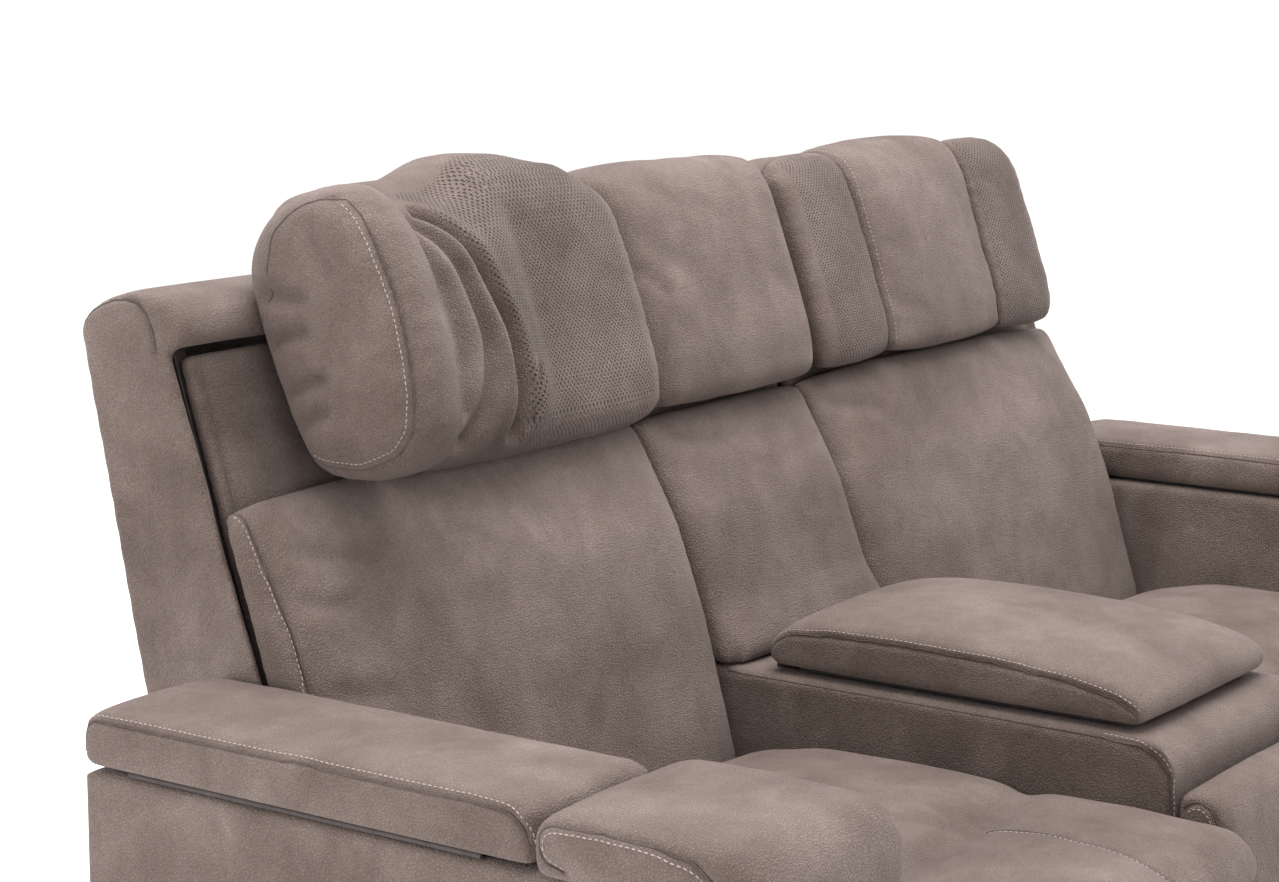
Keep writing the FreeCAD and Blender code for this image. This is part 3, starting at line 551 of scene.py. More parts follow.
def upholstery(seed=0, perforated=False, shade_strength=0.0):
    """Sueded cover cloth: cloudy colour, pebbled grain, soft sheen. Painted shade darkens seams, folds and hollows,
    from the mesh's own shade layer.
    """
    key = (seed, perforated, shade_strength)
    if key in _made:
        return _made[key]
    m, nt, b = nodes_of("cover_%d%s%s" % (seed, "_perforated" if perforated else "", "_recess_shade" if shade_strength else ""))
    co = node(nt, "ShaderNodeTexCoord").outputs["Object"]
    mp = node(nt, "ShaderNodeMapping", {"Vector": co, "Location": (1.37 * seed, 0.73 * seed, 2.11 * seed)}).outputs[0]
    big = node(nt, "ShaderNodeTexNoise", {"Vector": mp, "Scale": 5.5, "Detail": 4.0, "Roughness": 0.55, "Distortion": 0.35}).outputs["Fac"]
    mid = node(nt, "ShaderNodeTexNoise", {"Vector": mp, "Scale": 16.0, "Detail": 5.0, "Roughness": 0.62, "Distortion": 0.6}).outputs["Fac"]
    fine = node(nt, "ShaderNodeTexNoise", {"Vector": mp, "Scale": 190.0, "Detail": 3.0, "Roughness": 0.6}).outputs["Fac"]
    cloud = math_node(nt, "MULTIPLY_ADD", big, 0.62, math_node(nt, "MULTIPLY", mid, 0.38))
    cells = node(nt, "ShaderNodeTexVoronoi", {"Vector": mp, "Scale": 330.0, "Randomness": 1.0}, feature="DISTANCE_TO_EDGE").outputs["Distance"]
    cell_low = math_node(nt, "MULTIPLY", cells, 3.2, clamp=True)
    cells2 = node(nt, "ShaderNodeTexVoronoi", {"Vector": mp, "Scale": 560.0, "Randomness": 1.0}, feature="F1").outputs["Distance"]
    col = ramp(nt, cloud, [
        (0.30, (0.080, 0.054, 0.043, 1)), (0.42, (0.113, 0.080, 0.066, 1)),
        (0.52, (0.142, 0.104, 0.088, 1)), (0.62, (0.178, 0.134, 0.116, 1)), (0.74, (0.238, 0.187, 0.166, 1))])
    # grain: the valleys between the pebbles are a little darker
    g = ramp(nt, cell_low, [(0.0, grey(0.66)), (0.45, grey(1.0)), (1.0, grey(1.07))])
    mix = nt.nodes.new("ShaderNodeMix")
    mix.data_type, mix.blend_type = "RGBA", "MULTIPLY"
    mix.inputs[0].default_value = 1.0
    nt.links.new(col, mix.inputs[6])
    nt.links.new(g, mix.inputs[7])
    sock = mix.outputs[2]
    f = ramp(nt, fine, [(0.3, grey(0.93)), (0.7, grey(1.06))])
    mix2 = nt.nodes.new("ShaderNodeMix")
    mix2.data_type, mix2.blend_type = "RGBA", "MULTIPLY"
    mix2.inputs[0].default_value = 1.0
    nt.links.new(sock, mix2.inputs[6])
    nt.links.new(f, mix2.inputs[7])
    sock = mix2.outputs[2]
    # painted shade along seams, folds, puckers and pinches, from the mesh's shade layer
    shade = node(nt, "ShaderNodeAttribute", attribute_name="shade").outputs["Fac"]
    sh = ramp(nt, shade, [(0.0, (1, 1, 1, 1)), (1.0, (0.36, 0.30, 0.28, 1))])
    mix3 = nt.nodes.new("ShaderNodeMix")
    mix3.data_type, mix3.blend_type = "RGBA", "MULTIPLY"
    mix3.inputs[0].default_value = 1.0
    nt.links.new(sock, mix3.inputs[6])
    nt.links.new(sh, mix3.inputs[7])
    sock = mix3.outputs[2]
    height = math_node(nt, "MULTIPLY_ADD", cell_low, 0.75, math_node(nt, "MULTIPLY", fine, 0.55))
    height = math_node(nt, "MULTIPLY_ADD", cells2, 0.30, height)
    if perforated:
        uv = node(nt, "ShaderNodeAttribute", attribute_name="sheet").outputs["Vector"]
        xyz = node(nt, "ShaderNodeSeparateXYZ", {"Vector": uv})
        hole = None
        pitch = 0.0068
        for off in (0.0, 0.5):
            u = math_node(nt, "FRACT", math_node(nt, "MULTIPLY_ADD", xyz.outputs[0], 1 / pitch, off))
            v = math_node(nt, "FRACT", math_node(nt, "MULTIPLY_ADD", xyz.outputs[1], 1 / pitch, off))
            du = math_node(nt, "SUBTRACT", u, 0.5)
            dv = math_node(nt, "SUBTRACT", v, 0.5)
            d2 = math_node(nt, "ADD", math_node(nt, "MULTIPLY", du, du), math_node(nt, "MULTIPLY", dv, dv))
            d = math_node(nt, "SQRT", d2)
            hole = d if hole is None else math_node(nt, "MINIMUM", hole, d)
        inside = math_node(nt, "SUBTRACT", 1.0, math_node(nt, "MULTIPLY", math_node(nt, "SUBTRACT", hole, 0.13), 8.0, clamp=True), clamp=True)
        inside = math_node(nt, "MULTIPLY", inside, xyz.outputs[2])
        hc = ramp(nt, inside, [(0.0, (1, 1, 1, 1)), (1.0, (0.22, 0.19, 0.18, 1))])
        mix4 = nt.nodes.new("ShaderNodeMix")
        mix4.data_type, mix4.blend_type = "RGBA", "MULTIPLY"
        mix4.inputs[0].default_value = 1.0
        nt.links.new(sock, mix4.inputs[6])
        nt.links.new(hc, mix4.inputs[7])
        sock = mix4.outputs[2]
        height = math_node(nt, "MULTIPLY_ADD", inside, -1.6, height)
    # painted shade: a darker copy of the cover, for the recessed back panels
    if shade_strength:
        mix5 = nt.nodes.new("ShaderNodeMix")
        mix5.data_type, mix5.blend_type = "RGBA", "MULTIPLY"
        mix5.inputs[0].default_value = shade_strength
        nt.links.new(sock, mix5.inputs[6])
        mix5.inputs[7].default_value = (0.12, 0.10, 0.10, 1)
        sock = mix5.outputs[2]
    nt.links.new(sock, b.inputs["Base Color"])
    bump = node(nt, "ShaderNodeBump", {"Height": height, "Strength": 0.75, "Distance": 0.0013})
    nt.links.new(bump.outputs[0], b.inputs["Normal"])
    rough = ramp(nt, cloud, [(0.3, grey(0.80)), (0.7, grey(0.66))])
    nt.links.new(rough, b.inputs["Roughness"])
    b.inputs["Specular IOR Level"].default_value = 0.32
    b.inputs["Sheen Weight"].default_value = 0.16
    b.inputs["Sheen Roughness"].default_value = 0.45
    b.inputs["Sheen Tint"].default_value = (0.86, 0.76, 0.73, 1)
    _made[key] = m
    return m


def thread_material():
    m, nt, b = nodes_of("thread")
    co = node(nt, "ShaderNodeTexCoord").outputs["Object"]
    n = node(nt, "ShaderNodeTexNoise", {"Vector": co, "Scale": 260.0, "Detail": 2.0}).outputs["Fac"]
    c = ramp(nt, n, [(0.3, (0.26, 0.215, 0.195, 1)), (0.7, (0.37, 0.315, 0.295, 1))])
    nt.links.new(c, b.inputs["Base Color"])
    w = node(nt, "ShaderNodeTexWave", {"Vector": co, "Scale": 900.0, "Distortion": 1.0}).outputs["Fac"]
    bump = node(nt, "ShaderNodeBump", {"Height": w, "Strength": 0.3, "Distance": 0.0003})
    nt.links.new(bump.outputs[0], b.inputs["Normal"])
    b.inputs["Roughness"].default_value = 0.55
    return m


# a near-black tube laid in each seam's groove: painted shade
def seam_shade_material():
    m, nt, b = nodes_of("seam_valley_shade")
    co = node(nt, "ShaderNodeTexCoord").outputs["Object"]
    n = node(nt, "ShaderNodeTexNoise", {"Vector": co, "Scale": 120.0, "Detail": 3.0}).outputs["Fac"]
    c = ramp(nt, n, [(0.3, (0.050, 0.036, 0.031, 1)), (0.7, (0.085, 0.064, 0.056, 1))])
    nt.links.new(c, b.inputs["Base Color"])
    bump = node(nt, "ShaderNodeBump", {"Height": n, "Strength": 0.4, "Distance": 0.0005})
    nt.links.new(bump.outputs[0], b.inputs["Normal"])
    b.inputs["Roughness"].default_value = 0.9
    return m


def hard(name, kind, color, rough, metal=0.0, scale=60.0, bump=0.15, coat=0.0):
    """Powder-coated or bare steel, moulded plastic: one fine texture of its own for each."""
    m, nt, b = nodes_of(name)
    co = node(nt, "ShaderNodeTexCoord").outputs["Object"]
    if kind == "brushed":
        co = node(nt, "ShaderNodeMapping", {"Vector": co, "Scale": (1.0, 30.0, 30.0)}).outputs[0]
    n = node(nt, "ShaderNodeTexNoise", {"Vector": co, "Scale": scale, "Detail": 5.0, "Roughness": 0.6}).outputs["Fac"]
    n2 = node(nt, "ShaderNodeTexNoise", {"Vector": co, "Scale": scale * 0.08, "Detail": 3.0}).outputs["Fac"]
    mix = math_node(nt, "MULTIPLY_ADD", n, 0.6, math_node(nt, "MULTIPLY", n2, 0.4))
    lo = tuple(c * 0.72 for c in color) + (1,)
    hi = tuple(min(1, c * 1.35 + 0.004) for c in color) + (1,)
    nt.links.new(ramp(nt, mix, [(0.35, lo), (0.65, hi)]), b.inputs["Base Color"])
    nt.links.new(ramp(nt, mix, [(0.3, grey(min(1, rough * 1.15))), (0.7, grey(rough * 0.85))]), b.inputs["Roughness"])
    bp = node(nt, "ShaderNodeBump", {"Height": n, "Strength": bump, "Distance": 0.0006})
    nt.links.new(bp.outputs[0], b.inputs["Normal"])
    b.inputs["Metallic"].default_value = metal
    if coat:
        b.inputs["Coat Weight"].default_value = coat
    return m


THREAD, SEAM_SHADE = thread_material(), seam_shade_material()
PAINT = hard("black_powder_coat", "speckle", (0.022, 0.022, 0.024), 0.45, 0.0, 700.0, 0.25)
STEEL = hard("zinc_plated_steel", "brushed", (0.46, 0.46, 0.47), 0.34, 1.0, 90.0, 0.08)
PLASTIC = hard("moulded_black_plastic", "speckle", (0.018, 0.018, 0.020), 0.55, 0.0, 1400.0, 0.3)
LINING = hard("bin_lining", "speckle", (0.030, 0.028, 0.028), 0.85, 0.0, 420.0, 0.5)
# dark brown that stands in for the shade in the slots and gaps where this hardware shows: painted shade
SLOT_SHADE_BROWN = hard("slot_shade_brown", "speckle", (0.034, 0.025, 0.022), 0.65, 0.0, 700.0, 0.25)
CAMBRIC = hard("black_cambric", "speckle", (0.020, 0.019, 0.019), 0.95, 0.0, 900.0, 0.6)


# ------------------------------------------------------------------ dressing a piece
def in_mm(co):
    return co * 1000.0 + np.array([0, Y0, 0])


def dress(ob, name, body, nodes_, voxel=0.007, seams=(), puff=0.016, width=0.10, hold=None, groove=(0.0030, 0.0035),
          pucker=(0.0012, 0.030, 0.020), swell=(0.0020, 5.0), folds=(), seed=1, soften=3, mat=None, sub=1,
          stitched=(), seam_shade_tubes=True, perforate=None, squash=None,
          tune=None, lines_only=(), pinch=(), pinch_depth=0.004, pinch_width=0.018):
    """Turns a plain closed form into a sewn, filled piece.
    seams: lines in metres where the cover is sewn down. hold(p, normal): True where it rests and can't swell.
    folds: (line, depth, width, ridge) soft creases. pinch: lines where the filling is drawn in with no seam.
    stitched: (line, offset, towards point) rows of thread. lines_only: seams that show only as a painted shade line and
    don't draw in."""
    ob.name = ob.data.name = name
    remesh(ob, voxel)
    relax(ob.data, soften)
    co, e, nr = arrays(ob.data)
    n = len(co)
    all_lines = [np.asarray(x) for x in seams]
    L = Lines(all_lines) if all_lines else None
    P = Lines([laid(tree(ob), np.asarray(x))[0] for x in pinch]) if len(pinch) else None
    fixed = np.zeros(n, bool)
    if L is not None:
        d, t, who = L.near(co)
        fixed |= d < voxel * 0.62
    if P is not None:
        d, t, who = P.near(co)
        fixed |= d < voxel * 0.8
    if hold is not None:
        fixed |= hold(in_mm(co), nr)
    if puff:
        h = membrane(e, n, fixed)
        h = h * voxel ** 2 / (width ** 2 / 2)
        h = puff * (1 - np.exp(-h))
        deg = degree(n, e)
        for _ in range(2):
            h = 0.5 * h + 0.5 * spread(h, e, deg)
        out = nr.copy()
        for _ in range(5):
            out = 0.4 * out + 0.6 * spread(out, e, deg)
        out /= np.maximum(np.linalg.norm(out, axis=1, keepdims=True), 1e-9)
        co = co + out * h[:, None]
        put(ob.data, co)
        relax(ob.data, 2)
    if tune is not None:
        co, e, nr = arrays(ob.data)
        put(ob.data, tune(co, nr))
    if sub:
        subdivide(ob, sub)
    co, e, nr = arrays(ob.data)
    n = len(co)
    deg = degree(n, e)
    nrs = nr.copy()
    for _ in range(3):
        nrs = 0.4 * nrs + 0.6 * spread(nrs, e, deg)
    nrs /= np.maximum(np.linalg.norm(nrs, axis=1, keepdims=True), 1e-9)
    move = np.zeros(n)
    shade = np.zeros(n)
    amp, reach, wave = pucker
    if L is not None:
        d, t, who = L.near(co)
        depth, w = groove
        g = np.exp(-(d / w) ** 2)
        move -= depth * g
        # painted shade: the cover is darkened along each seam's groove
        shade = np.maximum(shade, 0.50 * np.exp(-(d / (w * 0.8)) ** 2) + 0.16 * np.exp(-d / 0.010))
        if amp:
            fade = np.exp(-d / reach) * (1 - np.exp(-(d / 0.006) ** 2))
            q = np.column_stack([t / wave, d / (reach * 1.6), who * 3.7 + seed])
            rip = 0.65 * noise(q, seed + 5) + 0.35 * noise(q * [2.1, 1.3, 1], seed + 6)
            move += amp * fade * rip
            # painted shade in the hollows of the puckers
            shade += 0.08 * fade * np.clip(-rip, 0, 1)
    if P is not None:
        P = Lines([laid(tree(ob), np.asarray(x))[0] for x in pinch])
        d, t, who = P.near(co)
        g = np.exp(-(d / pinch_width) ** 2)
        move -= pinch_depth * g
        # painted shade along the pinched valley
        shade = np.maximum(shade, 0.12 * g)
        fade = np.exp(-d / 0.05)
        q = np.column_stack([t / 0.045, d / 0.09, who * 2.3 + seed])
        move += 1.2 * amp * fade * noise(q, seed + 9)
    on = tree(ob) if folds else None
    for line, depth, w, ridge in folds:
        F = Lines([laid(on, rounded_line(line, 4), smooth=14)[0]])
        fd, ft, _ = F.near(co, reach=w * 6 + 0.01)
        length = F.t.max()
        if depth > 0:
            ends = np.clip(np.minimum(ft, length - ft) / (0.25 * length + 1e-6), 0, 1)
            ends = ends * ends * (3 - 2 * ends)
        else:
            ends = 1.0
        g = np.exp(-(fd / w) ** 2)
        move += -abs(depth) * g * ends + ridge * np.exp(-((fd - 2.2 * w) / (1.3 * w)) ** 2) * ends
        shade_strength = np.clip(abs(depth) / 0.010, 0.1, 1.0)
        # painted shade in the fold's crease
        shade = np.maximum(shade, 0.42 * shade_strength * np.exp(-(fd / (0.6 * w)) ** 2) * ends)
    amp, freq = swell
    if amp:
        q = co * freq
        move += amp * fbm(q + seed * 3.1, seed, 3)
        move += amp * 0.22 * noise(co * freq * 5.5 + seed, seed + 3)
    if hold is not None:
        keep = hold(in_mm(co), nr).astype(float)
        for _ in range(2):
            keep = 0.5 * keep + 0.5 * spread(keep, e, deg)
        move *= 1 - keep
    co = co + nrs * move[:, None]
    put(ob.data, co)
    me = ob.data
    a = me.attributes.get("shade") or me.attributes.new("shade", "FLOAT", "POINT")
    a.data.foreach_set("value", np.clip(shade, 0, 1).astype(np.float32))
    if perforate is not None:
        v = perforate(co)
        a = me.attributes.get("sheet") or me.attributes.new("sheet", "FLOAT_VECTOR", "POINT")
        a.data.foreach_set("vector", v.astype(np.float32).ravel())
    shade_smooth(me)
    me.materials.clear()
    me.materials.append(mat or upholstery(seed % 7))
    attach(ob, body)
    if nodes_:
        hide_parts(*nodes_)
    if (seam_shade_tubes and all_lines) or stitched or lines_only:
        bvh = tree(ob)
        bits = []
        # painted shade: a dark tube along each seam
        if seam_shade_tubes:
            for line in list(all_lines) + [np.asarray(x) for x in lines_only]:
                p, q = laid(bvh, line)
                bits.append(tube(p, q, 0.0010, -0.0001))
            merge(name + "_seam_shade", bits, SEAM_SHADE, body, squash)
        bits = []
        for k, (line, off, toward) in enumerate(stitched):
            p, q = laid(bvh, line)
            tan = np.gradient(p, axis=0)
            side = np.cross(tan, q)
            side /= np.maximum(np.linalg.norm(side, axis=1, keepdims=True), 1e-9)
            ref = M(toward)[0]
            away = ref - p
            sign = 1.0 if float(np.mean(np.einsum("ij,ij->i", away, side))) > 0 else -1.0
            p2, q2 = laid(bvh, p + sign * off * side, smooth=3)
            bits.append(stitches(p2, q2, seed=seed + k))
        if bits:
            merge(name + "_stitches", bits, THREAD, body, squash)
    if squash:
        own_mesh(ob)
    return ob


def at_x(x, pts):
    """A line at one x through (y, z) points, in mm, as metres."""
    return M([(x, y, z) for y, z in pts])


def across(xa, xb, y, z, n=2):
    return M([(xa + (xb - xa) * k / (n - 1), y, z) for k in range(n)])


def part_of(outline, test):
    """The longest run of outline points for which test(y, z) holds."""
    n = len(outline)
    ok = [bool(test(y, z)) for y, z in outline]
    best, run = [], []
    for i in range(2 * n):
        if ok[i % n]:
            run.append(i % n)
            if len(run) > len(best) and len(run) <= n:
                best = list(run)
        else:
            run = []
    return [tuple(outline[i]) for i in best]


PHI = math.atan(0.354)
CF, SF = math.cos(PHI), math.sin(PHI)


def fu(pts):
    """(forward, up along the headrest's lean) to (y, z), in mm."""
    return [(371.2 - f * CF + u * SF, 890.3 + f * SF + u * CF) for f, u in pts]


def fu_of(p):
    dy, dz = p[:, 1] - 371.2, p[:, 2] - 890.3
    return -dy * CF + dz * SF, dy * SF + dz * CF


def flip(s, line):
    line = np.array(line, float)
    line[:, 0] *= s
    return line


def smooth_step(x):
    x = np.clip(x, 0, 1)
    return x * x * (3 - 2 * x)


def wing_front(z):
    return 342.0 + 0.365 * (z - 663.0)


def wing_rear(z):
    return 499.0 + 0.2071 * (z - 625.0)


def panel_front(z):
    return 408.0 + 0.3165 * (z - 824.0)


def copy_node(name, new_name):
    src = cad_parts[name]
    me = src.data.copy()
    ob = bpy.data.objects.new(new_name, me)
    scene.collection.objects.link(ob)
    return ob


def plates(s, items):
    """Flat-sided bits of hardware: (x from, x to, outline, edge radius) each."""
    bits = []
    for xa, xb, pts, r in items:
        o = mirrored(prism("bit", xa, xb, np.array(pts, float), (r, r), seg=1), s)
        bm_fix(o)
        bits.append(([tuple(v.co) for v in o.data.vertices], [tuple(f.vertices) for f in o.data.polygons]))
        bpy.data.objects.remove(o)
    return bits


def bm_fix(ob):
    """Turns all faces outwards."""
    bm = bmesh.new()
    bm.from_mesh(ob.data)
    bmesh.ops.recalc_face_normals(bm, faces=bm.faces)
    bm.to_mesh(ob.data)
    bm.free()


SIDES = ((-1, "left"), (1, "right"))

# ------------------------------------------------------------------ arms
for s, side in SIDES:
    sd = 3 if s < 0 else 14
    # boards under their cover
    ob = copy_node("arm_frame_" + side, "arm_cover_" + side)
    for a, b in ((862.0, 880.0),):
        fill_box = prism("t", a, b, np.array([(-300.0, 529.0), (-196.0, 529.0), (-196.0, 561.0), (-300.0, 561.0)]), 0.0)
        join(ob, mirrored(fill_box, s))
    dress(ob, "arm_cover_" + side, "base", ["arm_frame_" + side], voxel=0.008, puff=0.0, swell=(0.0009, 4.0), seed=sd,
          soften=2, sub=0, seam_shade_tubes=False)
    pocket = mirrored(prism("t", 855.0, 874.5, np.array([(-295.5, 532.5), (-201.5, 532.5), (-201.5, 557.5), (-295.5, 557.5)]), 0.0), s)
    cut(ob, pocket)
    shade_smooth(ob.data)

    # lid
    out = filleted([(-135, 600.3), (398, 600.3), (398, 651), (-135, 651)], [4, 5, 13, 15], 5)
    ob = mirrored(prism("t", 863.0, 1044.0, dense(out), (9.0, 5.0)), s)
    run = [(401, 612), (401, 626), (396, 639), (386, 646), (246, 648), (124, 649), (9, 648), (-69, 649), (-112, 645), (-128, 633), (-135, 618), (-136, 608)]
    seams = [flip(s, at_x(1044, run)), flip(s, at_x(863, run))]
    dress(ob, "arm_lid_cover_" + side, "lid_" + side, ["arm_lid_" + side], voxel=0.007, seams=seams, puff=0.008, width=0.07,
          hold=lambda p, n: p[:, 2] < 604, seed=sd + 1, soften=1, pucker=(0.0007, 0.02, 0.018), swell=(0.0014, 5.0),
          stitched=[(seams[0], 0.0065, (s * 950, 130, 660)), (seams[1], 0.0065, (s * 950, 130, 660))])

    # front pad with the waterfall edge
    top = filleted([(-343, 562), (-343, 599), (-146, 599), (-146, 650), (-374.5, 650), (-374.5, 562)], [0, 0, 10, 26, 118, 6], 9)
    ob = prism("t", 840.0, 1060.0, dense(top), (9.0, 9.0))
    low = filleted([(-345, 62), (-345, 590), (-374.5, 590), (-374.5, 62)], [3, 0, 0, 12], 4)
    ob = mirrored(join(ob, prism("t2", 866.0, 1060.0, dense(low), (9.0, 9.0))), s)
    run = [(-180, 609), (-160, 614), (-152, 625), (-152, 638), (-160, 648), (-172, 652), (-221, 654), (-271, 652), (-310, 643), (-340, 622), (-362, 592), (-374, 556), (-377, 500), (-377, 300), (-377, 66)]
    run_in = run[:11] + [(-370, 570)]
    low_in = [(-377, 558), (-377, 400), (-377, 200), (-377, 66)]
    seams = [flip(s, at_x(1061, run)), flip(s, at_x(839, run_in)), flip(s, at_x(865, low_in))]
    dress(ob, "arm_pad_cover_" + side, "base", ["arm_pad_" + side], voxel=0.007, seams=seams, puff=0.011, width=0.07,
          hold=lambda p, n: (p[:, 1] > -346.5) & (p[:, 2] < 606) | (p[:, 2] < 64), seed=sd + 2, soften=2, pucker=(0.0009, 0.025, 0.02),
          swell=(0.0018, 5.0), stitched=[(seams[0], 0.0065, (s * 950, -250, 400)), (seams[1], 0.0065, (s * 950, -250, 500))])

# ------------------------------------------------------------------ console
ob = copy_node("console_box", "console_cover")
join(ob, prism("t", -175.5, 175.5, np.array([(236.0, 380.0), (300.0, 380.0), (300.0, 538.9), (236.0, 538.9)]), 0.0))


def nose(co, nr):
    """Rounds the console's front top edge."""
    p = in_mm(co)
    cy, cz, r = -274.0, 500.0, 38.0
    m = (p[:, 1] < cy) & (p[:, 2] > cz)
    v = p[m][:, 1:] - [cy, cz]
    ln = np.linalg.norm(v, axis=1)
    k = np.where(ln > r, r / np.maximum(ln, 1e-9), 1.0)
    p[m, 1:] = [cy, cz] + v * k[:, None]
    p[:, 1] -= Y0
    return p / 1000.0


side_run = [(252, 536), (151, 536), (20, 536), (-106, 535), (-226, 533), (-273, 529), (-292, 520), (-305, 505), (-309, 479), (-311, 300), (-311, 70)]
seams = [at_x(-175.5, side_run), at_x(175.5, side_run)]
dress(ob, "console_cover", "base", ["console_box"], voxel=0.007, seams=seams, puff=0.0, swell=(0.0009, 4.0), seed=5, soften=2,
      sub=0, tune=nose, pucker=(0.0005, 0.02, 0.02),
      stitched=[(q[-7 * 1:], 0.0055, (0, -300, 300)) for q in seams])

lens = [(-262, 545), (-268, 556), (-262, 569), (-242, 579), (-190, 588), (-98, 595), (29, 598), (120, 596), (178, 590), (200, 576), (205, 560), (200, 546), (100, 545), (-100, 545)]
ob = prism("t", -163.0, 163.0, dense(filleted(lens, 6, 3)), (7.0, 7.0))
run = [(204, 550), (206, 560), (200, 573), (180, 585), (120, 590), (29, 592), (-98, 589), (-180, 582), (-235, 572), (-260, 560), (-266, 550)]
seams = [at_x(-164, run), at_x(164, run)]
dress(ob, "console_lid_cover", "lid_console", ["console_lid"], voxel=0.006, seams=seams, puff=0.015, width=0.09,
      hold=lambda p, n: p[:, 2] < 548, seed=6, soften=2, pucker=(0.0008, 0.025, 0.02), swell=(0.0016, 6.0),
      stitched=[(seams[0], 0.0065, (0, 0, 900)), (seams[1], 0.0065, (0, 0, 900))])

pad = filleted([(-314, 77), (-314, 484), (-348, 488), (-367, 472), (-384, 420), (-397, 340), (-402, 200), (-402, 77)], [4, 6, 12, 14, 30, 30, 30, 10], 5)
ob = prism("t", -175.5, 175.5, dense(pad), (8.0, 8.0))
run = [(-322, 470), (-332, 478), (-343, 482), (-356, 474), (-368, 451), (-377, 415), (-388, 340), (-392, 200), (-392, 84)]
seams = [at_x(-176, run), at_x(176, run)]
dress(ob, "console_front_cover", "base", ["console_front_pad"], voxel=0.007, seams=seams, puff=0.009, width=0.08,
      hold=lambda p, n: (p[:, 1] > -317) | (p[:, 2] < 79), seed=7, soften=2,
      stitched=[(seams[0], 0.0065, (0, -390, 300)), (seams[1], 0.0065, (0, -390, 300))])

# ------------------------------------------------------------------ backs
ROLL = [(444.0, 971.0), (443.5, 985.0), (451.0, 1004.0), (474.0, 1021.0), (512.0, 1027.0),
        (550.0, 1012.0), (571.0, 990.0), (wing_rear(966.0), 966.0), (452.0, 966.0)]
ROLL_V = filleted([(445.0, 969.0), (444.5, 985.0), (452.0, 1003.0), (474.5, 1019.5), (511.5, 1025.5),
                   (549.0, 1010.5), (569.0, 990.0), (wing_rear(968.0) - 1, 968.0)], [4, 12, 14, 20, 30, 20, 10, 3], 4)
WING_PTS = [(wing_front(402.0), 402.0), (wing_front(968.0), 968.0), (456.5, 984.0), (463.0, 1000.0),
            (478.0, 1014.0), (500.0, 1021.0), (525.0, 1021.0), (552.0, 1012.0), (573.0, 999.0),
            (wing_rear(983.0) + 11.5, 983.0), (wing_rear(402.0) + 11.5, 402.0)]
MESH_BACK = {}


def recess_panel(name, xa, xb, z0, z1):
    out = np.array([(panel_front(z0), z0), (panel_front(z1), z1), (panel_front(z1) + 20.0, z1), (panel_front(z0) + 20.0, z0)])
    return prism(name, xa, xb, dense(out, 20.0), (3.0, 3.0))


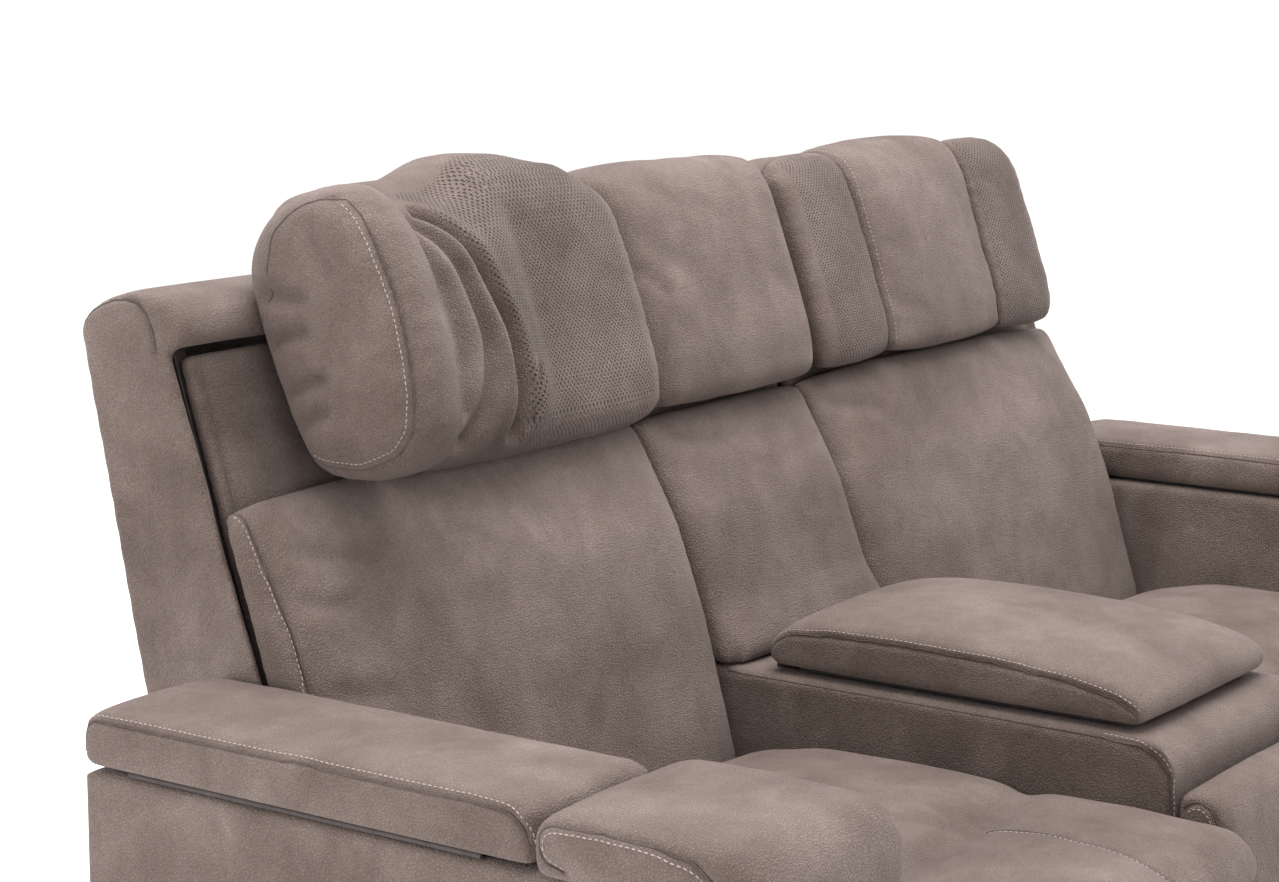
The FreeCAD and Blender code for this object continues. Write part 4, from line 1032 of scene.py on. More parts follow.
for s, side in SIDES:
    sd = 21 if s < 0 else 31
    body, nd = "back_" + side, ["back_frame_" + side]
    # hardware between the boards, as in the frame, coloured dark brown as painted shade in the slot where it shows
    up = [(panel_front(374.0) + 21.0, 375.0), (panel_front(962.0) + 21.0, 961.0), (475.0, 965.0),
          (wing_rear(965.0) - 1, 965.0), (wing_rear(375.0) - 1, 375.0)]
    pivot = [(286.0, 345.0), (287.0, 340.0), (292.0, 333.0), (300.0, 331.0), (308.0, 333.0), (313.0, 340.0),
             (314.0, 374.0), (290.0, 374.0), (286.0, 352.0)]
    ear = [(376.0, 858.0), (375.0, 850.0), (378.0, 844.0), (385.0, 842.0), (panel_front(838.0), 838.0),
           (panel_front(864.0), 864.0), (392.0, 862.0), (385.0, 862.0)]
    items = [(182.5, 200.0, up, 1.0), (816.0, 833.5, up, 1.0), (200.0, 816.0, [(300, 374), (330, 374), (330, 404), (300, 404)], 1.0)]
    items += [(xa, xa + 5.0, pivot, 0.5) for xa in (203.0, 828.0)] + [(xa, xa + 5.0, ear, 0.5) for xa in (430.0, 568.0)]
    hw = merge("back_hardware_" + side, plates(s, items), SLOT_SHADE_BROWN, body, smooth=False)
    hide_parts(*nd)
    # side wing and top roll
    def chamfer(x, poly):
        q = poly.copy()
        front = q[:, 0] < wing_front(q[:, 1]) + 30
        q[front, 0] += max(0.0, 858.0 - x) * (1.5 - 0.35 * smooth_step((q[front, 1] - 790.0) / 45.0))
        return q

    wing_o = prism("t", 836.5, 858.0, dense(filleted(WING_PTS, [2, 12, 10, 10, 16, 16, 16, 16, 8, 3, 2], 3)), (0.0, 8.0), step=2.0, shape=chamfer)
    roll_o = prism("t2", 180.0, 853.0, dense(ROLL_V), (6.0, 11.0))
    ob = mirrored(join(wing_o, roll_o), s)
    arch = flip(s, at_x(856, [(474, 966), (478, 985), (487, 1002), (500, 1013), (516, 1017), (533, 1016), (552, 1010), (568, 1001), (581, 988)]))
    dress(ob, "shell_cover_" + side, body, nd, voxel=0.0065, seams=[arch], puff=0.0, swell=(0.0012, 4.0), seed=sd, soften=3, sub=1,
          pucker=(0.0006, 0.02, 0.02))
    # recessed panel with a welted strip along its outer edge
    ob = mirrored(recess_panel("t", 183.0, 836.5, 375.0, 961.0), s)
    line = [(panel_front(z), z) for z in (400, 600, 800, 960)]
    seams = [flip(s, at_x(825, line))]
    # the panel's cover is a darker copy of the cloth: painted shade in the recess
    dress(ob, "shell_panel_" + side, body, nd, voxel=0.0065, seams=seams, puff=0.0035, width=0.05,
          hold=lambda p, n: (n[:, 1] > -0.3), seed=sd + 2, soften=2, sub=0, pucker=(0.0008, 0.02, 0.02),
             mat=upholstery((sd + 2) % 7, False, 0.22))
    # rear cover
    out = [(wing_rear(201.0) + 0.5, 201.0), (wing_rear(983.0) + 0.5, 983.0), (587.0, 983.0), (587.0, 978.0), (wing_rear(201.0) + 12.0, 201.0)]
    ob = mirrored(prism("t", 180.0, 836.0, dense(np.array(out), 20.0), (3.0, 3.0)), s)
    edge = M([(190, wing_rear(210) + 12, 210), (827, wing_rear(210) + 12, 210), (827, wing_rear(973) + 12, 973), (190, wing_rear(973) + 12, 973), (190, wing_rear(210) + 12, 210)])
    seams = [flip(s, edge)]
    dress(ob, "rear_panel_" + side, body, ["rear_cover_" + side], voxel=0.0045, seams=seams, puff=0.0, swell=(0.0008, 3.0), seed=sd + 3,
          soften=1, sub=0, pucker=(0.0006, 0.03, 0.03))

    # lumbar cushion
    lum = [(399, 810), (379, 811), (318, 700), (280, 600), (256, 520), (229, 432), (229, 402), (270, 400)]
    out = dense(filleted(lum, [4, 20, 60, 60, 60, 30, 12, 4], 6), 14.0)

    def bow(x, poly, s=s):
        """The console side is rounded more than the outer side."""
        q = poly.copy()
        t = np.clip((230.0 - x) / 50.0, 0, 1)
        front = np.clip((panel_front(q[:, 1]) - q[:, 0]) / 60.0, 0, 1)
        q[:, 0] += front * (1 - math.sqrt(max(0.0, 1 - t * t))) * 9.0
        if x > 833.5:
            q[:, 0] = np.minimum(q[:, 0], wing_front(q[:, 1]) + 1.4 * (858.0 - x))
        if s > 0 and x > 755.0:
            t = min(1.0, (x - 755.0) / 99.0)
            q[:, 0] += front * (1 - math.sqrt(max(0.0, 1 - t * t))) * (4.0 + 30.0 * smooth_step((q[:, 1] - 660.0) / 130.0))
        return q

    ob = mirrored(prism("t", 179.5, 854.0, out, (3.0, 9.0), seg=5, step=4.0, shape=bow), s)
    run = [(410, 806), (399, 809), (388, 804), (373, 780), (356, 747), (337, 709), (308, 655), (286, 600), (268, 520), (248, 440), (244, 405)]
    face = part_of(out, lambda y, z: y < panel_front(z) - 12 and 408 < z < 812)
    seams = [flip(s, at_x(851, run) if s > 0 else at_x(839, face))]
    folds = []
    if s < 0:
        folds = [(M([(-818, 372, 770), (-770, 352, 752), (-700, 346, 744)]), 0.0045, 0.012, 0.0015),
                 (M([(-820, 345, 722), (-790, 332, 706), (-750, 330, 702)]), 0.0040, 0.010, 0.0012),
                 (M([(-822, 300, 640), (-780, 290, 622), (-730, 290, 618)]), 0.0035, 0.012, 0.0012),
                 (M([(-560, 380, 800), (-480, 374, 788), (-400, 376, 794)]), 0.004, 0.014, 0.001)]
    else:
        folds = [(M([(190, 372, 790), (250, 356, 772), (320, 350, 764)]), 0.004, 0.012, 0.0012),
                 (M([(600, 380, 802), (690, 372, 790), (780, 374, 794)]), 0.004, 0.014, 0.001)]
    dress(ob, "lumbar_cushion_" + side, body, ["back_cushion_" + side], voxel=0.0075, seams=seams, puff=0.022, width=0.11,
          hold=lambda p, n: (p[:, 1] > panel_front(p[:, 2]) - 6) | (np.abs(p[:, 0]) < 181) | (p[:, 2] < 404),
          seed=sd + 4, soften=4, folds=folds, pucker=(0.0016, 0.035, 0.026), swell=(0.0030, 4.5),
          stitched=[(seams[0], 0.0065, (s * 834, 480, 600) if s > 0 else (-1000, 320, 600))])

# middle back
body, nd = "base", ["centre_back_frame"]
up = [(panel_front(548.0) + 21.0, 549.0), (panel_front(962.0) + 21.0, 961.0), (475.0, 965.0),
      (wing_rear(965.0) - 1, 965.0), (wing_rear(62.0) - 1, 62.0), (264.0, 62.0), (264.0, 536.0), (319.0, 538.0)]
bits = plates(-1, [(153.0, 167.0, up, 1.0)]) + plates(1, [(153.0, 167.0, up, 1.0)])
hw = merge("centre_hardware", bits, CAMBRIC, body, smooth=False)
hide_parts(*nd)
ob = prism("t", -172.5, 172.5, dense(ROLL_V), (4.0, 4.0))
dress(ob, "centre_roll", body, nd, voxel=0.007, seams=[], puff=0.003, width=0.06, hold=lambda p, n: (p[:, 2] < 972) | (n[:, 1] > 0.6) | (np.abs(p[:, 0]) > 170),
      seed=41, soften=2)
ob = recess_panel("t", -170.5, 170.5, 549.0, 961.0)
dress(ob, "centre_panel", body, nd, voxel=0.008, puff=0.0, seed=42, soften=2, sub=0)
out = [(wing_rear(63.0) + 0.5, 63.0), (wing_rear(983.0) + 0.5, 983.0), (587.0, 983.0), (587.0, 978.0), (wing_rear(63.0) + 12.0, 63.0)]
ob = prism("t", -172.5, 172.5, dense(np.array(out), 20.0), (3.0, 3.0))
edge = M([(-163, wing_rear(72) + 12, 72), (163, wing_rear(72) + 12, 72), (163, wing_rear(973) + 12, 973), (-163, wing_rear(973) + 12, 973), (-163, wing_rear(72) + 12, 72)])
dress(ob, "centre_rear_panel", body, ["centre_rear_cover"], voxel=0.0045, seams=[edge], puff=0.0, swell=(0.0008, 3.0), seed=43, soften=1, sub=0)

lum = [(399, 810), (379, 811), (317, 700), (280, 600), (246, 548), (250, 541), (312, 541)]
out = dense(filleted(lum, [4, 20, 60, 40, 6, 3, 4], 6), 12.0)


def bow_mid(x, poly):
    q = poly.copy()
    t = np.clip((abs(x) - 140.0) / 33.0, 0, 1)
    front = np.clip((panel_front(q[:, 1]) - q[:, 0]) / 60.0, 0, 1)
    q[:, 0] += front * (1 - math.sqrt(max(0.0, 1 - t * t))) * 9.0
    return q


ob = prism("t", -175.0, 175.0, out, (3.0, 3.0), seg=4, step=4.0, shape=bow_mid)
dress(ob, "lumbar_cushion_centre", "base", ["centre_back_cushion"], voxel=0.0065, seams=[], puff=0.017, width=0.09,
      hold=lambda p, n: (p[:, 1] > panel_front(p[:, 2]) - 6) | (np.abs(p[:, 0]) > 173),
      tune=lambda co, nr: np.column_stack([co[:, 0], co[:, 1], np.maximum(co[:, 2], 0.5402)]), seed=44, soften=4, folds=[(M([(-160, 372, 792), (-90, 360, 776), (0, 358, 774)]), 0.004, 0.012, 0.001)], swell=(0.0026, 5.0),
      squash=(("console_lid_hinge", (0.0, CF, -SF), (0.0, 0.32, 0.82)), {"keep": 0.90}))

# ------------------------------------------------------------------ headrests
HEADB = fu([(2, -60), (10, -10), (10, 100), (10, 176), (0, 206), (-30, 222)]) + \
    [(508, 1084), (521, 1065), (516, 1043), (449, 1039.5), (440, 1004), (437.5, 968), (441.5, 944), (412.5, 852), (400, 838)]
HEAD_OUT = dense(filleted(HEADB, [12, 60, 60, 60, 20, 16, 14, 10, 8, 5, 12, 12, 12, 12, 8], 5), 9.0)


def rests(p):
    """Where the pad lies against the back, and can't swell."""
    f, u = fu_of(p)
    behind = (p[:, 1] > 434) & (p[:, 2] < 1041)
    low = (p[:, 1] > 341.2 + (p[:, 2] - 848) * 0.45 + 62) & (p[:, 2] < 970)
    return behind | low


def front_run(x, d=0.0):
    """The line over the front and top of the pad at one x, d mm inside the plain outline."""
    poly = inset(HEAD_OUT, d) if d else HEAD_OUT
    keep = part_of(poly, lambda y, z: not ((y > 434 and z < 1041) or (z < 852 and y > 378) or (y > 341.2 + (z - 848) * 0.45 + 62 and z < 970)))
    line = at_x(x, keep)
    if line[0][2] > line[-1][2]:
        line = line[::-1]
    return line


FINE = dense(HEAD_OUT, 2.0)
FINE_T = np.roll(FINE, -1, 0) - np.roll(FINE, 1, 0)
FINE_T /= np.maximum(np.linalg.norm(FINE_T, axis=1, keepdims=True), 1e-9)
for _ in range(8):
    FINE_T = 0.5 * FINE_T + 0.25 * (np.roll(FINE_T, 1, 0) + np.roll(FINE_T, -1, 0))
FINE_T /= np.maximum(np.linalg.norm(FINE_T, axis=1, keepdims=True), 1e-9)
FINE_S = np.concatenate([[0.0], np.cumsum(np.linalg.norm(np.diff(FINE, axis=0), axis=1))])


def along_outline(p):
    """Length along the pad's outline, so that the holes keep their spacing over the curved top."""
    out = np.zeros(len(p))
    for a in range(0, len(p), 4000):
        q = p[a:a + 4000, 1:]
        near = np.argmin(((q[:, None, :] - FINE[None]) ** 2).sum(2), axis=1)
        out[a:a + 4000] = FINE_S[near] + np.einsum("ij,ij->i", q - FINE[near], FINE_T[near])
    return out


def dots(mask):
    def go(co):
        p = in_mm(co)
        f, u = fu_of(p)
        m = mask(p, f, u)
        return np.column_stack([co[:, 0], along_outline(p) / 1000.0, m])
    return go


def tip_form(s, axis_x, tip_x, u_top=216.0, u_low=-62.0, r_top=75.0, r_low=45.0):
    """A wing pad: the plain outline, its two outer corners rounded off as seen square to it."""
    t = 1.0 if tip_x > axis_x else -1.0
    a, b = sorted((axis_x + 1.0 * t, tip_x))
    ob = prism("t", a, b, HEAD_OUT, 0.0, step=6.0)
    pts = filleted([(axis_x - 30 * t, u_low), (tip_x, u_low), (tip_x, u_top), (axis_x - 30 * t, u_top)], [0, r_low, r_top, 0], 10)
    near_, far_ = [], []
    for x, uu in pts:
        for f, bag in ((120.0, near_), (-220.0, far_)):
            y, z = fu([(f, uu)])[0]
            bag.append((x, y, z))
    cutter = loft("c", [M(near_), M(far_)])
    bm_fix(cutter)
    bm_fix(ob)
    cut(ob, cutter, "INTERSECT")
    return mirrored(ob, s)


def tip_run(s, tip_x, x, f=-20.0, u_top=216.0, u_low=-62.0, r_top=75.0, r_low=45.0, gap=0.0):
    pts = filleted([(x, u_low + gap), (tip_x - gap, u_low + gap), (tip_x - gap, u_top - gap), (x, u_top - gap)], [0, r_low - gap, r_top - gap, 0], 8)
    line = []
    for px, uu in pts:
        y, z = fu([(f, uu)])[0]
        line.append((s * px, y, z))
    return M(line)


def ears(ob, s):
    """Leaves room for the two brackets that carry the headrest."""
    for xa in (425.0, 563.0):
        c = mirrored(prism("c", xa, xa + 15.0, np.array([(366.0, 830.0), (430.0, 830.0), (430.0, 884.0), (366.0, 884.0)]), 0.0), s)
        bm_fix(c)
        cut(ob, c)
    shade_smooth(ob.data)


AX_OUT, AX_IN, TIP_OUT, TIP_IN = 648.0, 355.0, 824.0, 184.0
for s, side in SIDES:
    sd = 51 if s < 0 else 71
    # inner wing, perforated
    if s < 0:
        continue
    ob = tip_form(s, AX_IN, TIP_IN + 4, u_low=-74.0, u_top=220.0, r_top=60.0, r_low=44.0)
    edge_line = flip(s, front_run(AX_IN - 1.0, 4.0))
    seams = [edge_line, tip_run(s, TIP_IN + 4, 300.0, f=-22.0, u_low=-74.0, u_top=220.0, r_top=60.0, r_low=44.0)]
    if s < 0:
        seams = seams[1:]

    def kept_in(co, nr, s=s):
        x = np.abs(co[:, 0]) * 1000
        x = np.where(x < 192, 192 - 16 * (1 - np.exp(-(192 - x) / 16)), x)
        co = co.copy()
        co[:, 0] = np.sign(co[:, 0]) * np.clip(x, 177.5, 354.6) / 1000
        return co

    dress(ob, "headrest_inner_pad_" + side, "wing_inner_" + side, ["headrest_wing_inner_" + side], voxel=0.006, seams=seams, puff=0.018, width=0.080,
          hold=lambda p, n, s=s: rests(p) | ((np.abs(p[:, 0]) > AX_IN - 4.0) & (s > 0)), seed=sd, soften=8 if s > 0 else 5, mat=upholstery(sd % 7, True), tune=kept_in,
          perforate=dots(lambda p, f, u, s=s: smooth_step((f + 10) / 8.0) * smooth_step((np.abs(p[:, 0]) - 206) / 8.0) * (smooth_step((347 - np.abs(p[:, 0])) / 6.0) if s > 0 else 1.0)),
          pucker=(0.0016, 0.03, 0.022), swell=(0.0026, 6.0))
    # middle
    if s > 0:
        ob = mirrored(prism("t", AX_IN + 1.0, AX_OUT - 1.0, HEAD_OUT, (6.0, 6.0), step=6.0), s)
        seams = [front_run(AX_IN + 1.0, 5.5), front_run(AX_OUT - 1.0, 5.5)]
        folds = [(M([(358, 360, 905), (400, 352, 890), (450, 352, 884)]), 0.0020, 0.012, 0.0)]
        dress(ob, "headrest_pad_right", "head_right", ["headrest_right"], voxel=0.0065, seams=seams, puff=0.015, width=0.10,
              hold=lambda p, n: rests(p) | (p[:, 0] < AX_IN + 4.0) | (p[:, 0] > AX_OUT - 4.0), seed=sd + 1, soften=3, folds=folds,
              pucker=(0.0018, 0.04, 0.028), swell=(0.0028, 5.0),
              stitched=[(front_run(AX_IN + 8.0, 1.0), 0.004, (500, 380, 950))])
        ears(ob, s)
        # outer wing
        tip = TIP_OUT - 34
        ob = tip_form(s, AX_OUT, tip, u_top=214.0, u_low=-72.0)
        seams = [front_run(AX_OUT + 1.0, 4.0), tip_run(s, tip, 700.0, f=-26.0, u_top=214.0, u_low=-72.0)]
        dress(ob, "headrest_outer_pad_right", "wing_outer_right", ["headrest_wing_outer_right"], voxel=0.006, seams=seams, puff=0.014, width=0.080,
              hold=lambda p, n: rests(p) | (p[:, 0] < AX_OUT + 4.0), seed=sd + 2, soften=8, mat=upholstery(sd % 7, True),
              perforate=dots(lambda p, f, u: smooth_step((f + 10) / 8.0) * smooth_step((p[:, 0] - 658) / 6.0) * smooth_step((774 - p[:, 0]) / 8.0)), pucker=(0.0016, 0.03, 0.022), swell=(0.0026, 6.0))

# middle headrest
def eased(x, poly):
    """Both ends of the middle headrest fall away in front."""
    f, u = fu_of(np.column_stack([np.zeros(len(poly)), poly]))
    t = np.clip((abs(x) - 140.0) / 33.5, 0, 1)
    drop = 32.0 * (1 - math.sqrt(max(0.0, 1 - t * t)))
    k = smooth_step((f + 60) / 60.0)
    return np.array(fu(list(zip(f - drop * k, u - 0.5 * drop * smooth_step((u - 150) / 60.0)))))


ob = prism("t", -173.5, 173.5, HEAD_OUT, (6.0, 6.0), step=4.0, shape=eased)
folds = [(M([(-160, 400, 1046), (-110, 380, 1000), (-50, 368, 972)]), 0.0020, 0.015, 0.0),
         (M([(-172, 384, 1004), (-146, 372, 976), (-112, 364, 952)]), 0.0024, 0.011, 0.0),
         (M([(-120, 412, 1084), (-50, 400, 1062), (20, 396, 1052)]), 0.0018, 0.015, 0.0)]
dress(ob, "headrest_pad_centre", "base", ["centre_headrest"], voxel=0.0065, seams=[], puff=0.015, width=0.095,
      hold=lambda p, n: rests(p) | (np.abs(p[:, 0]) > 171.5), seed=66, soften=3, folds=folds, pucker=(0.0018, 0.04, 0.026), swell=(0.0030, 5.0))

# left: the outer wing is folded forward, and the middle section is squeezed beside it
def squeeze(x, poly):
    f, u = fu_of(np.column_stack([np.zeros(len(poly)), poly]))
    g = smooth_step((x - 400.0) / 50.0) * (1 - smooth_step((x - 570.0) / 60.0))
    up = smooth_step((u + 60) / 40.0) * (1 - 0.45 * smooth_step((u - 150) / 60.0))
    front = smooth_step((f + 60) / 50.0)
    return np.array(fu(list(zip(f + 20.0 * g * up * front, u - 34.0 * g * smooth_step((u - 90) / 110.0) * front))))


ob = join(tip_form(-1, AX_IN, TIP_IN + 4, u_low=-74.0, u_top=220.0, r_top=60.0, r_low=44.0),
          mirrored(prism("t", AX_IN - 3.0, AX_OUT - 4.0, HEAD_OUT, (0.0, 14.0), step=4.0, shape=squeeze), -1))


def fx(f, pts):
    return M([(x,) + fu([(f, u)])[0] for x, u in pts])


C3 = [(-536, 213), (-500, 146), (-471, 50), (-475, -16), (-486, -66)]
c3 = fx(52, C3)
c2 = fx(52, [(-556, 190), (-522, 120), (-510, 50), (-522, 8), (-542, -24), (-572, -62)])
c1 = fx(50, [(-586, 180), (-560, 110), (-556, 40), (-572, -20)])
tuck = fx(40, [(-436, 14), (-450, -19), (-470, -66)])


def lifted(co, nr):
    """Keeps the tip short of the middle headrest, and lets the filling rise beside the deep crease."""
    p = in_mm(co)
    x = np.abs(p[:, 0])
    f, u = fu_of(p)
    up = 17.0 * smooth_step((x - 195) / 70.0) * (1 - smooth_step((x - 400) / 90.0)) * smooth_step((u - 40) / 150.0)
    x = np.where(x < 192, 192 - 16 * (1 - np.exp(-(192 - x) / 16)), x)
    return np.column_stack([-np.maximum(x, 177.5) / 1000, co[:, 1] + up * SF / 1000, co[:, 2] + up * CF / 1000])


def beyond_c3(p, f, u):
    edge = np.interp(u, [q[1] for q in C3[::-1]], [q[0] for q in C3[::-1]])
    return smooth_step((f + 10) / 8.0) * smooth_step((p[:, 0] - edge - 9) / 5.0) * smooth_step((-206 - p[:, 0]) / 8.0)


def part_at(ob, x, low):
    """Keeps one side of a plane across X, and closes it."""
    bm = bmesh.new()
    bm.from_mesh(ob.data)
    got = bmesh.ops.bisect_plane(bm, geom=bm.verts[:] + bm.edges[:] + bm.faces[:], plane_co=(x, 0, 0), plane_no=(1, 0, 0), clear_outer=low, clear_inner=not low)
    rim = [g for g in got["geom_cut"] if isinstance(g, bmesh.types.BMEdge)]
    bmesh.ops.holes_fill(bm, edges=rim, sides=0)
    for g in rim:
        g.smooth = False
    bm.to_mesh(ob.data)
    bm.free()


tip_seam = tip_run(-1, TIP_IN + 4, 300.0, f=-22.0, u_low=-74.0, u_top=220.0, r_top=60.0, r_low=44.0)
dress(ob, "headrest_pad_left", "head_left", ["headrest_left"], voxel=0.0062, seams=[tip_seam], puff=0.030, width=0.090,
      hold=lambda p, n: rests(p) | (p[:, 0] < -AX_OUT + 8.0), seed=52, soften=5, tune=lifted,
      folds=[(c3, -0.017, 0.0085, 0.004), (c2, -0.011, 0.010, 0.003), (c1, -0.006, 0.012, 0.002), (tuck, 0.009, 0.0065, 0.002)],
      mat=upholstery(51 % 7, True), perforate=dots(beyond_c3), pucker=(0.0016, 0.03, 0.022), swell=(0.0028, 6.0), seam_shade_tubes=False)
wing = bpy.data.objects.new("headrest_inner_pad_left", ob.data.copy())
scene.collection.objects.link(wing)
part_at(ob, -0.3551, True)
part_at(wing, -0.3549, False)
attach(wing, "wing_inner_left")
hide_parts("headrest_wing_inner_left")
p, q = laid(tree(wing), tip_seam)
# painted shade line along the tip seam
merge("headrest_inner_pad_left_seam_shade", [tube(p, q, 0.0010, -0.0001)], SEAM_SHADE, "wing_inner_left")
ears(ob, -1)

PIL = [(56, 204), (92, 200), (112, 182), (127, 150), (134, 110), (135, 60), (130, 5), (119, -34), (95, -56), (54, -60), (12, -50), (-12, -34), (-20, 13), (-24, 61),
       (-27, 104), (-26, 136), (-22, 162), (-8, 184), (22, 199)]
pil = np.array(fu(PIL))
if area2(pil) < 0:
    pil = pil[::-1]


def taper(x, poly):
    """The folded pad thins out towards the middle section."""
    f, u = fu_of(np.column_stack([np.zeros(len(poly)), poly]))
    k = 1 - 0.27 * (max(0.0, 704.0 - x) / 58.0) ** 1.4
    return np.array(fu(list(zip(np.where(f > 0, f * k, f), u))))


ob = mirrored(prism("t", 646.0, 734.0, dense(pil, 9.0), (18.0, 20.0), seg=6, step=3.0, shape=taper), -1)
bm_fix(ob)
front_seam = M([(-738,) + q for q in fu([(118, 203), (132, 185), (137, 155), (143, 113), (146, 77), (141, 27), (133, -11), (120, -40), (95, -56), (54, -58), (16, -48), (-14, -32)])])
rear_seam = M([(-738,) + q for q in fu([(118, 203), (90, 205), (70, 204), (46, 197), (24, 186), (9, 161), (-6, 129), (-20, 108)])])
pfold = [(M([(-745,) + q for q in fu([(-34, 84), (0, 92), (44, 86)])]), 0.0095, 0.008, 0.001),
         (M([(-745,) + q for q in fu([(-30, 30), (8, 40), (52, 34)])]), 0.0085, 0.008, 0.001),
         (M([(-745,) + q for q in fu([(-24, 136), (16, 130), (56, 112)])]), 0.0075, 0.008, 0.001),
         (M([(-745,) + q for q in fu([(-26, -8), (6, 6), (40, 2)])]), 0.0070, 0.008, 0.001),
         (M([(-745,) + q for q in fu([(64, 200), (76, 160), (82, 116)])]), 0.0035, 0.012, 0.0)]
dress(ob, "headrest_outer_pad_left", "wing_outer_left", ["headrest_wing_outer_left"], voxel=0.006, seams=[front_seam, rear_seam], puff=0.020, width=0.060,
      hold=lambda p, n: p[:, 0] > -650.0, seed=53, soften=6, folds=pfold, mat=upholstery(53 % 7, True),
      perforate=lambda co: np.column_stack([co[:, 2] * SF - co[:, 1] * CF, co[:, 1] * SF + co[:, 2] * CF, smooth_step((in_mm(co)[:, 0] + 670) / 8.0)]),
      pucker=(0.0018, 0.03, 0.022), swell=(0.0026, 7.0),
      squash=(("wing_outer_fold_left", (1.0, 0.0, 0.0), (-0.646, 0.25, 0.93)), {"keep": 0.66}),
      stitched=[(front_seam, 0.0075, (-738,) + fu([(50, 60)])[0])], lines_only=[M([(-738,) + q for q in fu([(8, -49), (7, -58)])] + [(-722,) + fu([(6, -70)])[0]])])

# ------------------------------------------------------------------ seats
for s, side in SIDES:
    sd = 81 if s < 0 else 91
    out = filleted([(208, 330), (208, 446), (100, 462), (-180, 466), (-385, 462), (-412, 446), (-416, 416), (-400, 400), (-372, 400), (-372, 330)],
                   [4, 14, 60, 60, 24, 18, 16, 8, 4, 4], 5)
    ob = mirrored(prism("t", 182.5, 853.5, dense(out, 18.0), (14.0, 14.0), step=8.0), s)
    valley_line = M([(s * 188, -150, 470), (s * 280, -168, 478), (s * 380, -180, 482), (s * 520, -188, 482), (s * 670, -182, 480), (s * 770, -160, 476), (s * 848, -138, 468)])
    chan = [M([(s * x, y, z) for y, z in ((-182, 482), (-260, 480), (-340, 474), (-385, 462), (-410, 446), (-416, 425), (-410, 405))]) for x in (357, 679)]
    folds = [(M([(s * 380, -180, 484), (s * 395, -130, 484), (s * 420, -90, 484)]), 0.003, 0.010, 0.001),
             (M([(s * 380, -182, 484), (s * 350, -140, 484), (s * 330, -110, 484)]), 0.003, 0.010, 0.001)]
    dress(ob, "seat_pad_" + side, "seat_" + side, ["seat_cushion_" + side], voxel=0.0085, seams=chan, puff=0.024, width=0.13, pinch=[valley_line],
          pinch_depth=0.006, pinch_width=0.020,
          hold=lambda p, n: (p[:, 2] < 342) | (np.abs(p[:, 0]) < 184.5) | (np.abs(p[:, 0]) > 851.5) | (p[:, 1] > 205) | ((p[:, 1] > -402) & (p[:, 2] < 403)),
          seed=sd, soften=4, folds=folds, pucker=(0.0018, 0.045, 0.03), swell=(0.0036, 4.0),
          stitched=[(chan[0], 0.006, (s * 500, -300, 480)), (chan[1], 0.006, (s * 500, -300, 480))])
    # leg rest board
    out = filleted([(-377, 76), (-377, 391), (-419, 391), (-419, 76)], [4, 4, 16, 16], 5)
    ob = mirrored(prism("t", 187.0, 833.0, dense(out, 14.0), (10.0, 10.0)), s)
    chan = [M([(s * x, y, z) for y, z in ((-385, 391), (-405, 389), (-418, 375), (-420, 300), (-420, 160), (-418, 90), (-405, 78), (-385, 76))]) for x in (357, 679)]
    dress(ob, "leg_pad_" + side, "board_" + side, ["leg_board_" + side], voxel=0.008, seams=chan, puff=0.007, width=0.09,
          hold=lambda p, n: (p[:, 1] > -380), seed=sd + 1, soften=2, pucker=(0.0012, 0.04, 0.03), swell=(0.0020, 5.0),
          stitched=[(chan[0], 0.006, (s * 500, -420, 230)), (chan[1], 0.006, (s * 500, -420, 230))])
    bits = []
    for xa, t in ((796.0, 1.0), (242.0, -1.0)):
        b0, b1 = sorted((xa - 8.2 * t, xa - 13.2 * t))
        lug = prism("lug", b0, b1, filleted([(-376.0, 290.0), (-350.0, 282.0), (-340.0, 276.0), (-340.0, 264.0), (-350.0, 258.0), (-376.0, 250.0)], [0, 8, 5, 5, 8, 0], 3), (0.6, 0.6), seg=2)
        mirrored(lug, s)
        bm_fix(lug)
        bits.append(([tuple(v.co) for v in lug.data.vertices], [tuple(f.vertices) for f in lug.data.polygons]))
        bpy.data.objects.remove(lug)
    lug = merge("leg_lugs_" + side, bits, PAINT, "board_" + side, smooth=False)
    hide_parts("leg_board_" + side)
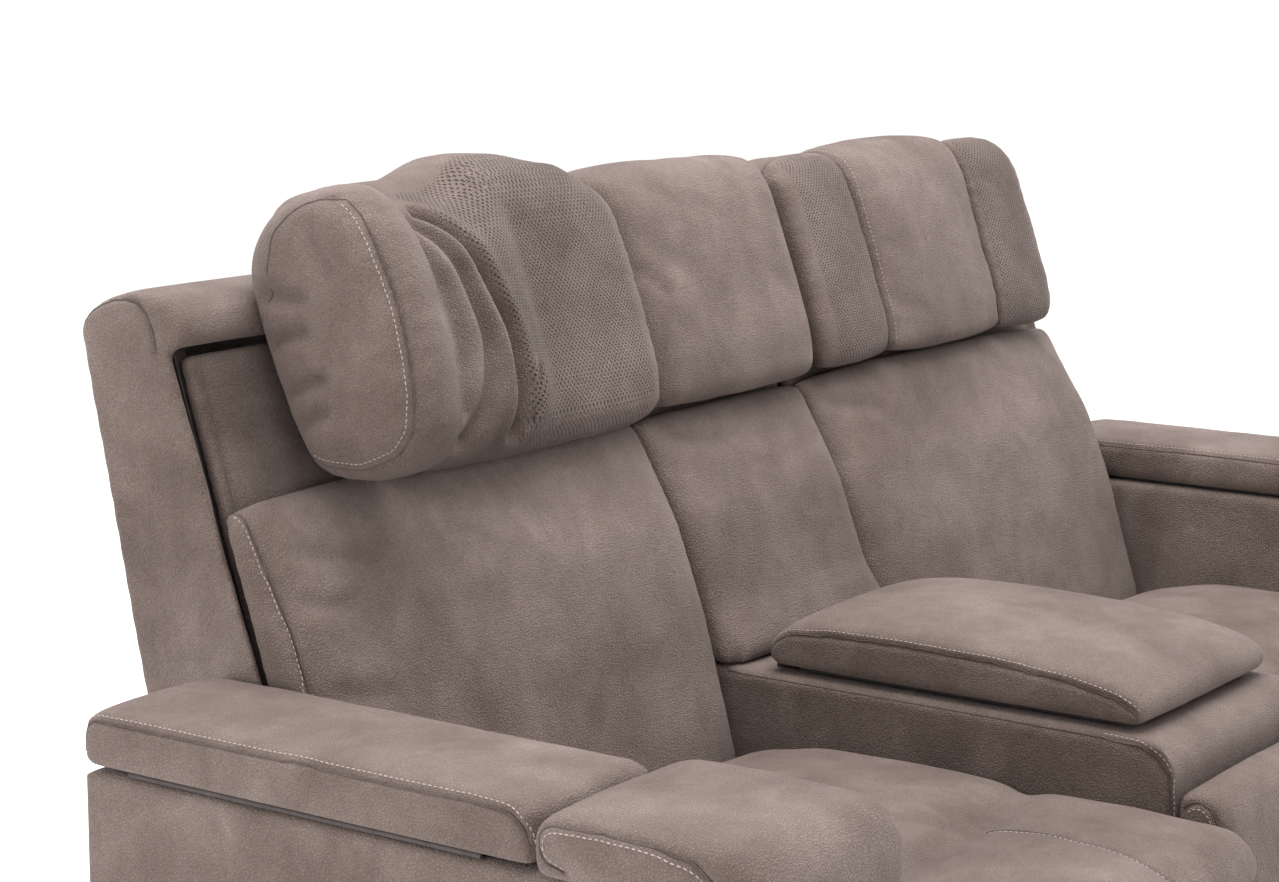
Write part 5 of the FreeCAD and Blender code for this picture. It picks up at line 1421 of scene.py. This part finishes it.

# ------------------------------------------------------------------ frame parts that show as they are; the hinge parts take the dark brown of painted slot shade
PART_MATERIAL = {"base_frame": PAINT, "slide_rails": STEEL, "feet": PLASTIC, "power_inlet": PLASTIC, "control_box": PLASTIC, "arm_bins": LINING,
        "hinge_fixed_leaves": SLOT_SHADE_BROWN, "hinge_pins": SLOT_SHADE_BROWN, "switch_bezels": PLASTIC, "console_bin": LINING, "console_lid_leaf": PAINT}
for s, side in SIDES:
    for k, m in (("arm_lid_leaf_", SLOT_SHADE_BROWN), ("seat_frame_", PAINT), ("seat_springs_", STEEL), ("leg_actuator_", PLASTIC), ("actuator_slider_", STEEL),
                 ("leg_crank_", PAINT), ("leg_links_", PAINT), ("headrest_rods_", STEEL), ("recline_rocker_", PLASTIC), ("headrest_rocker_", PLASTIC)):
        PART_MATERIAL[k + side] = m
for name, m in PART_MATERIAL.items():
    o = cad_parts[name]
    o.data.materials.clear()
    o.data.materials.append(m)
    for f in o.data.polygons:
        f.material_index = 0

# ------------------------------------------------------------------ stage, light, camera
fl = new_object("floor", [(-90, -90, 0), (90, -90, 0), (90, 90, 0), (-90, 90, 0)], [(0, 1, 2, 3)])
m, nt, b = nodes_of("pale_floor")
n = node(nt, "ShaderNodeTexNoise", {"Scale": 3.0, "Detail": 2.0}).outputs["Fac"]
nt.links.new(ramp(nt, n, [(0.3, grey(0.88)), (0.7, grey(0.90))]), b.inputs["Base Color"])
b.inputs["Roughness"].default_value = 0.9
fl.data.materials.append(m)

world = bpy.data.worlds.new("studio")
scene.world = world
world.use_nodes = True
world.node_tree.nodes["Background"].inputs[0].default_value = (1.0, 0.99, 0.985, 1)
world.node_tree.nodes["Background"].inputs[1].default_value = 1.16


def lamp(name, loc, target, size, power, color=(1, 1, 1)):
    d = bpy.data.lights.new(name, "AREA")
    d.shape = "RECTANGLE"
    d.size, d.size_y = size
    d.energy = power
    d.color = color
    o = bpy.data.objects.new(name, d)
    scene.collection.objects.link(o)
    o.location = loc
    o.rotation_euler = (Vector(target) - Vector(loc)).to_track_quat("-Z", "Y").to_euler()
    return o


lamp("key", (0.2, 0.0, 4.6), (0.0, 0.1, 0.4), (4.0, 3.0), 290.0)
lamp("left", (-5.5, 0.4, 1.3), (0.0, 0.1, 0.4), (3.4, 2.0), 105.0)

cam = bpy.data.cameras.new("view")
cam.lens = 82.59
cam.sensor_width = 36.0
cam.sensor_fit = "HORIZONTAL"
cam.clip_end = 100.0
co = bpy.data.objects.new("view", cam)
scene.collection.objects.link(co)
az, pt = math.radians(35.661), math.radians(-9.851)
co.location = (-2.9089, -1.6655, 1.3747)
co.rotation_euler = Vector((math.cos(pt) * math.cos(az), math.cos(pt) * math.sin(az), math.sin(pt))).to_track_quat("-Z", "Y").to_euler()
scene.camera = co
scene.view_settings.view_transform = "Standard"
scene.view_settings.look = "None"
